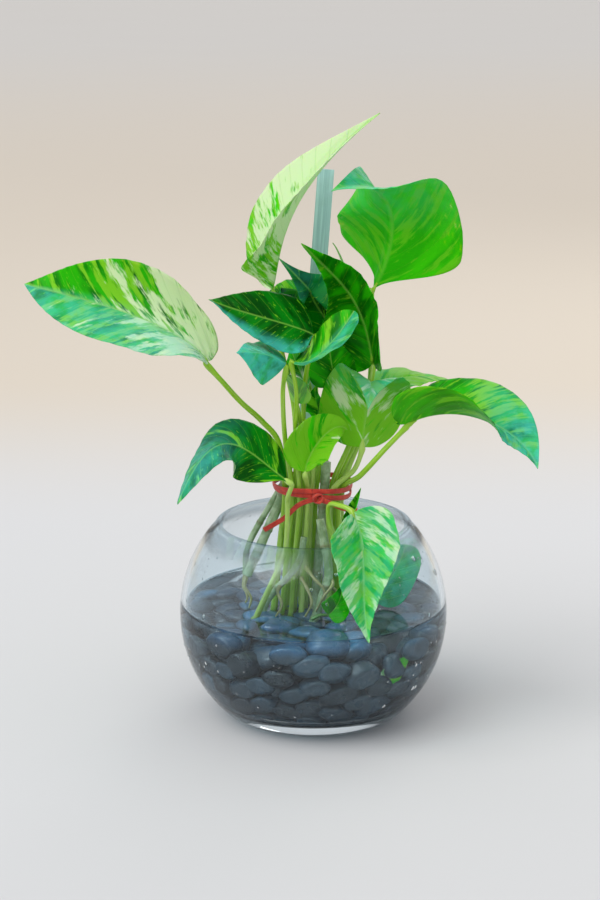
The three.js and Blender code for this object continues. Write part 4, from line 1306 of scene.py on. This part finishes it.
# %% Floor
def floor_material():
    material, g, shader = new_material("pale_floor", Specular_IOR_Level=0.2)
    here = g.parts(g.place())
    far = here[1]
    colour = g.mix(g.ramp(far, 0.30, 0.75), tone(207, 207, 208), tone(208, 198, 184))
    colour = g.mix(g.ramp(far, 1.5, 4.5), colour, tone(202, 199, 195))
    mottle = g.noise(g.place(), 3.0)
    colour = g.mix(g.ramp(mottle, 0.3, 0.8, 0.0, 0.06), colour, tone(205, 200, 198))
    g.feed(shader.inputs["Base Color"], colour)
    g.feed(shader.inputs["Roughness"], g.ramp(mottle, 0.3, 0.7, 0.75, 0.85))
    return material


def add_floor():
    mesh = bpy.data.meshes.new("floor")
    wide = 14.0
    mesh.from_pydata([(-wide, -wide, 0), (wide, -wide, 0), (wide, wide, 0), (-wide, wide, 0)], [],
                     [(0, 1, 2, 3)])
    mesh.materials.append(floor_material())
    floor = bpy.data.objects.new("floor", mesh)
    bpy.context.scene.collection.objects.link(floor)
    floor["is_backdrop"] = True


add_floor()
print("floor added")


# %% Light
def add_area(name, place, aim, size, power, colour):
    data = bpy.data.lights.new(name, "AREA")
    data.shape, data.size, data.energy, data.color = "SQUARE", size, power, colour
    light = bpy.data.objects.new(name, data)
    light.location = place
    light.rotation_mode = "QUATERNION"
    light.rotation_quaternion = (Vector(aim) - Vector(place)).to_track_quat("-Z", "Y")
    bpy.context.scene.collection.objects.link(light)


def add_sun(direction, power, spread, colour):
    data = bpy.data.lights.new("soft_sun", "SUN")
    data.energy, data.angle, data.color = power, math.radians(spread), colour
    sun = bpy.data.objects.new("soft_sun", data)
    sun.rotation_mode = "QUATERNION"
    sun.rotation_quaternion = Vector(direction).to_track_quat("-Z", "Y")
    bpy.context.scene.collection.objects.link(sun)


def add_sky(strength, colour):
    world = bpy.data.worlds.new("soft_sky")
    world.use_nodes = True
    background = world.node_tree.nodes["Background"]
    background.inputs[0].default_value = colour
    background.inputs[1].default_value = strength
    bpy.context.scene.world = world


add_sky(0.72, tone(246, 247, 250))
add_sun((0.45, 0.35, -0.85), 1.5, 45, (1.0, 0.98, 0.95))
add_area("window_left", (-1.1, -0.5, 1.0), (0, 0, 0.12), 0.9, 3.5, (0.8, 0.93, 1.0))
add_area("panel_back", (0.5, 1.0, 0.9), (0, 0, 0.15), 0.7, 2.5, (1.0, 0.98, 0.94))
bpy.context.scene.view_settings.view_transform = "Standard"
print("lights added")

# %% [markdown]
# The looks must stay in the frame's box. Both boxes are written down so they can be compared.

# %% Write the two boxes and finish
look_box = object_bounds()
sizes = {"cad": [list(corner) for corner in cad_box], "look": [list(corner) for corner in look_box]}
for label, (low, high) in sizes.items():
    print(label, [round(1000 * v, 1) for v in low], [round(1000 * v, 1) for v in high])
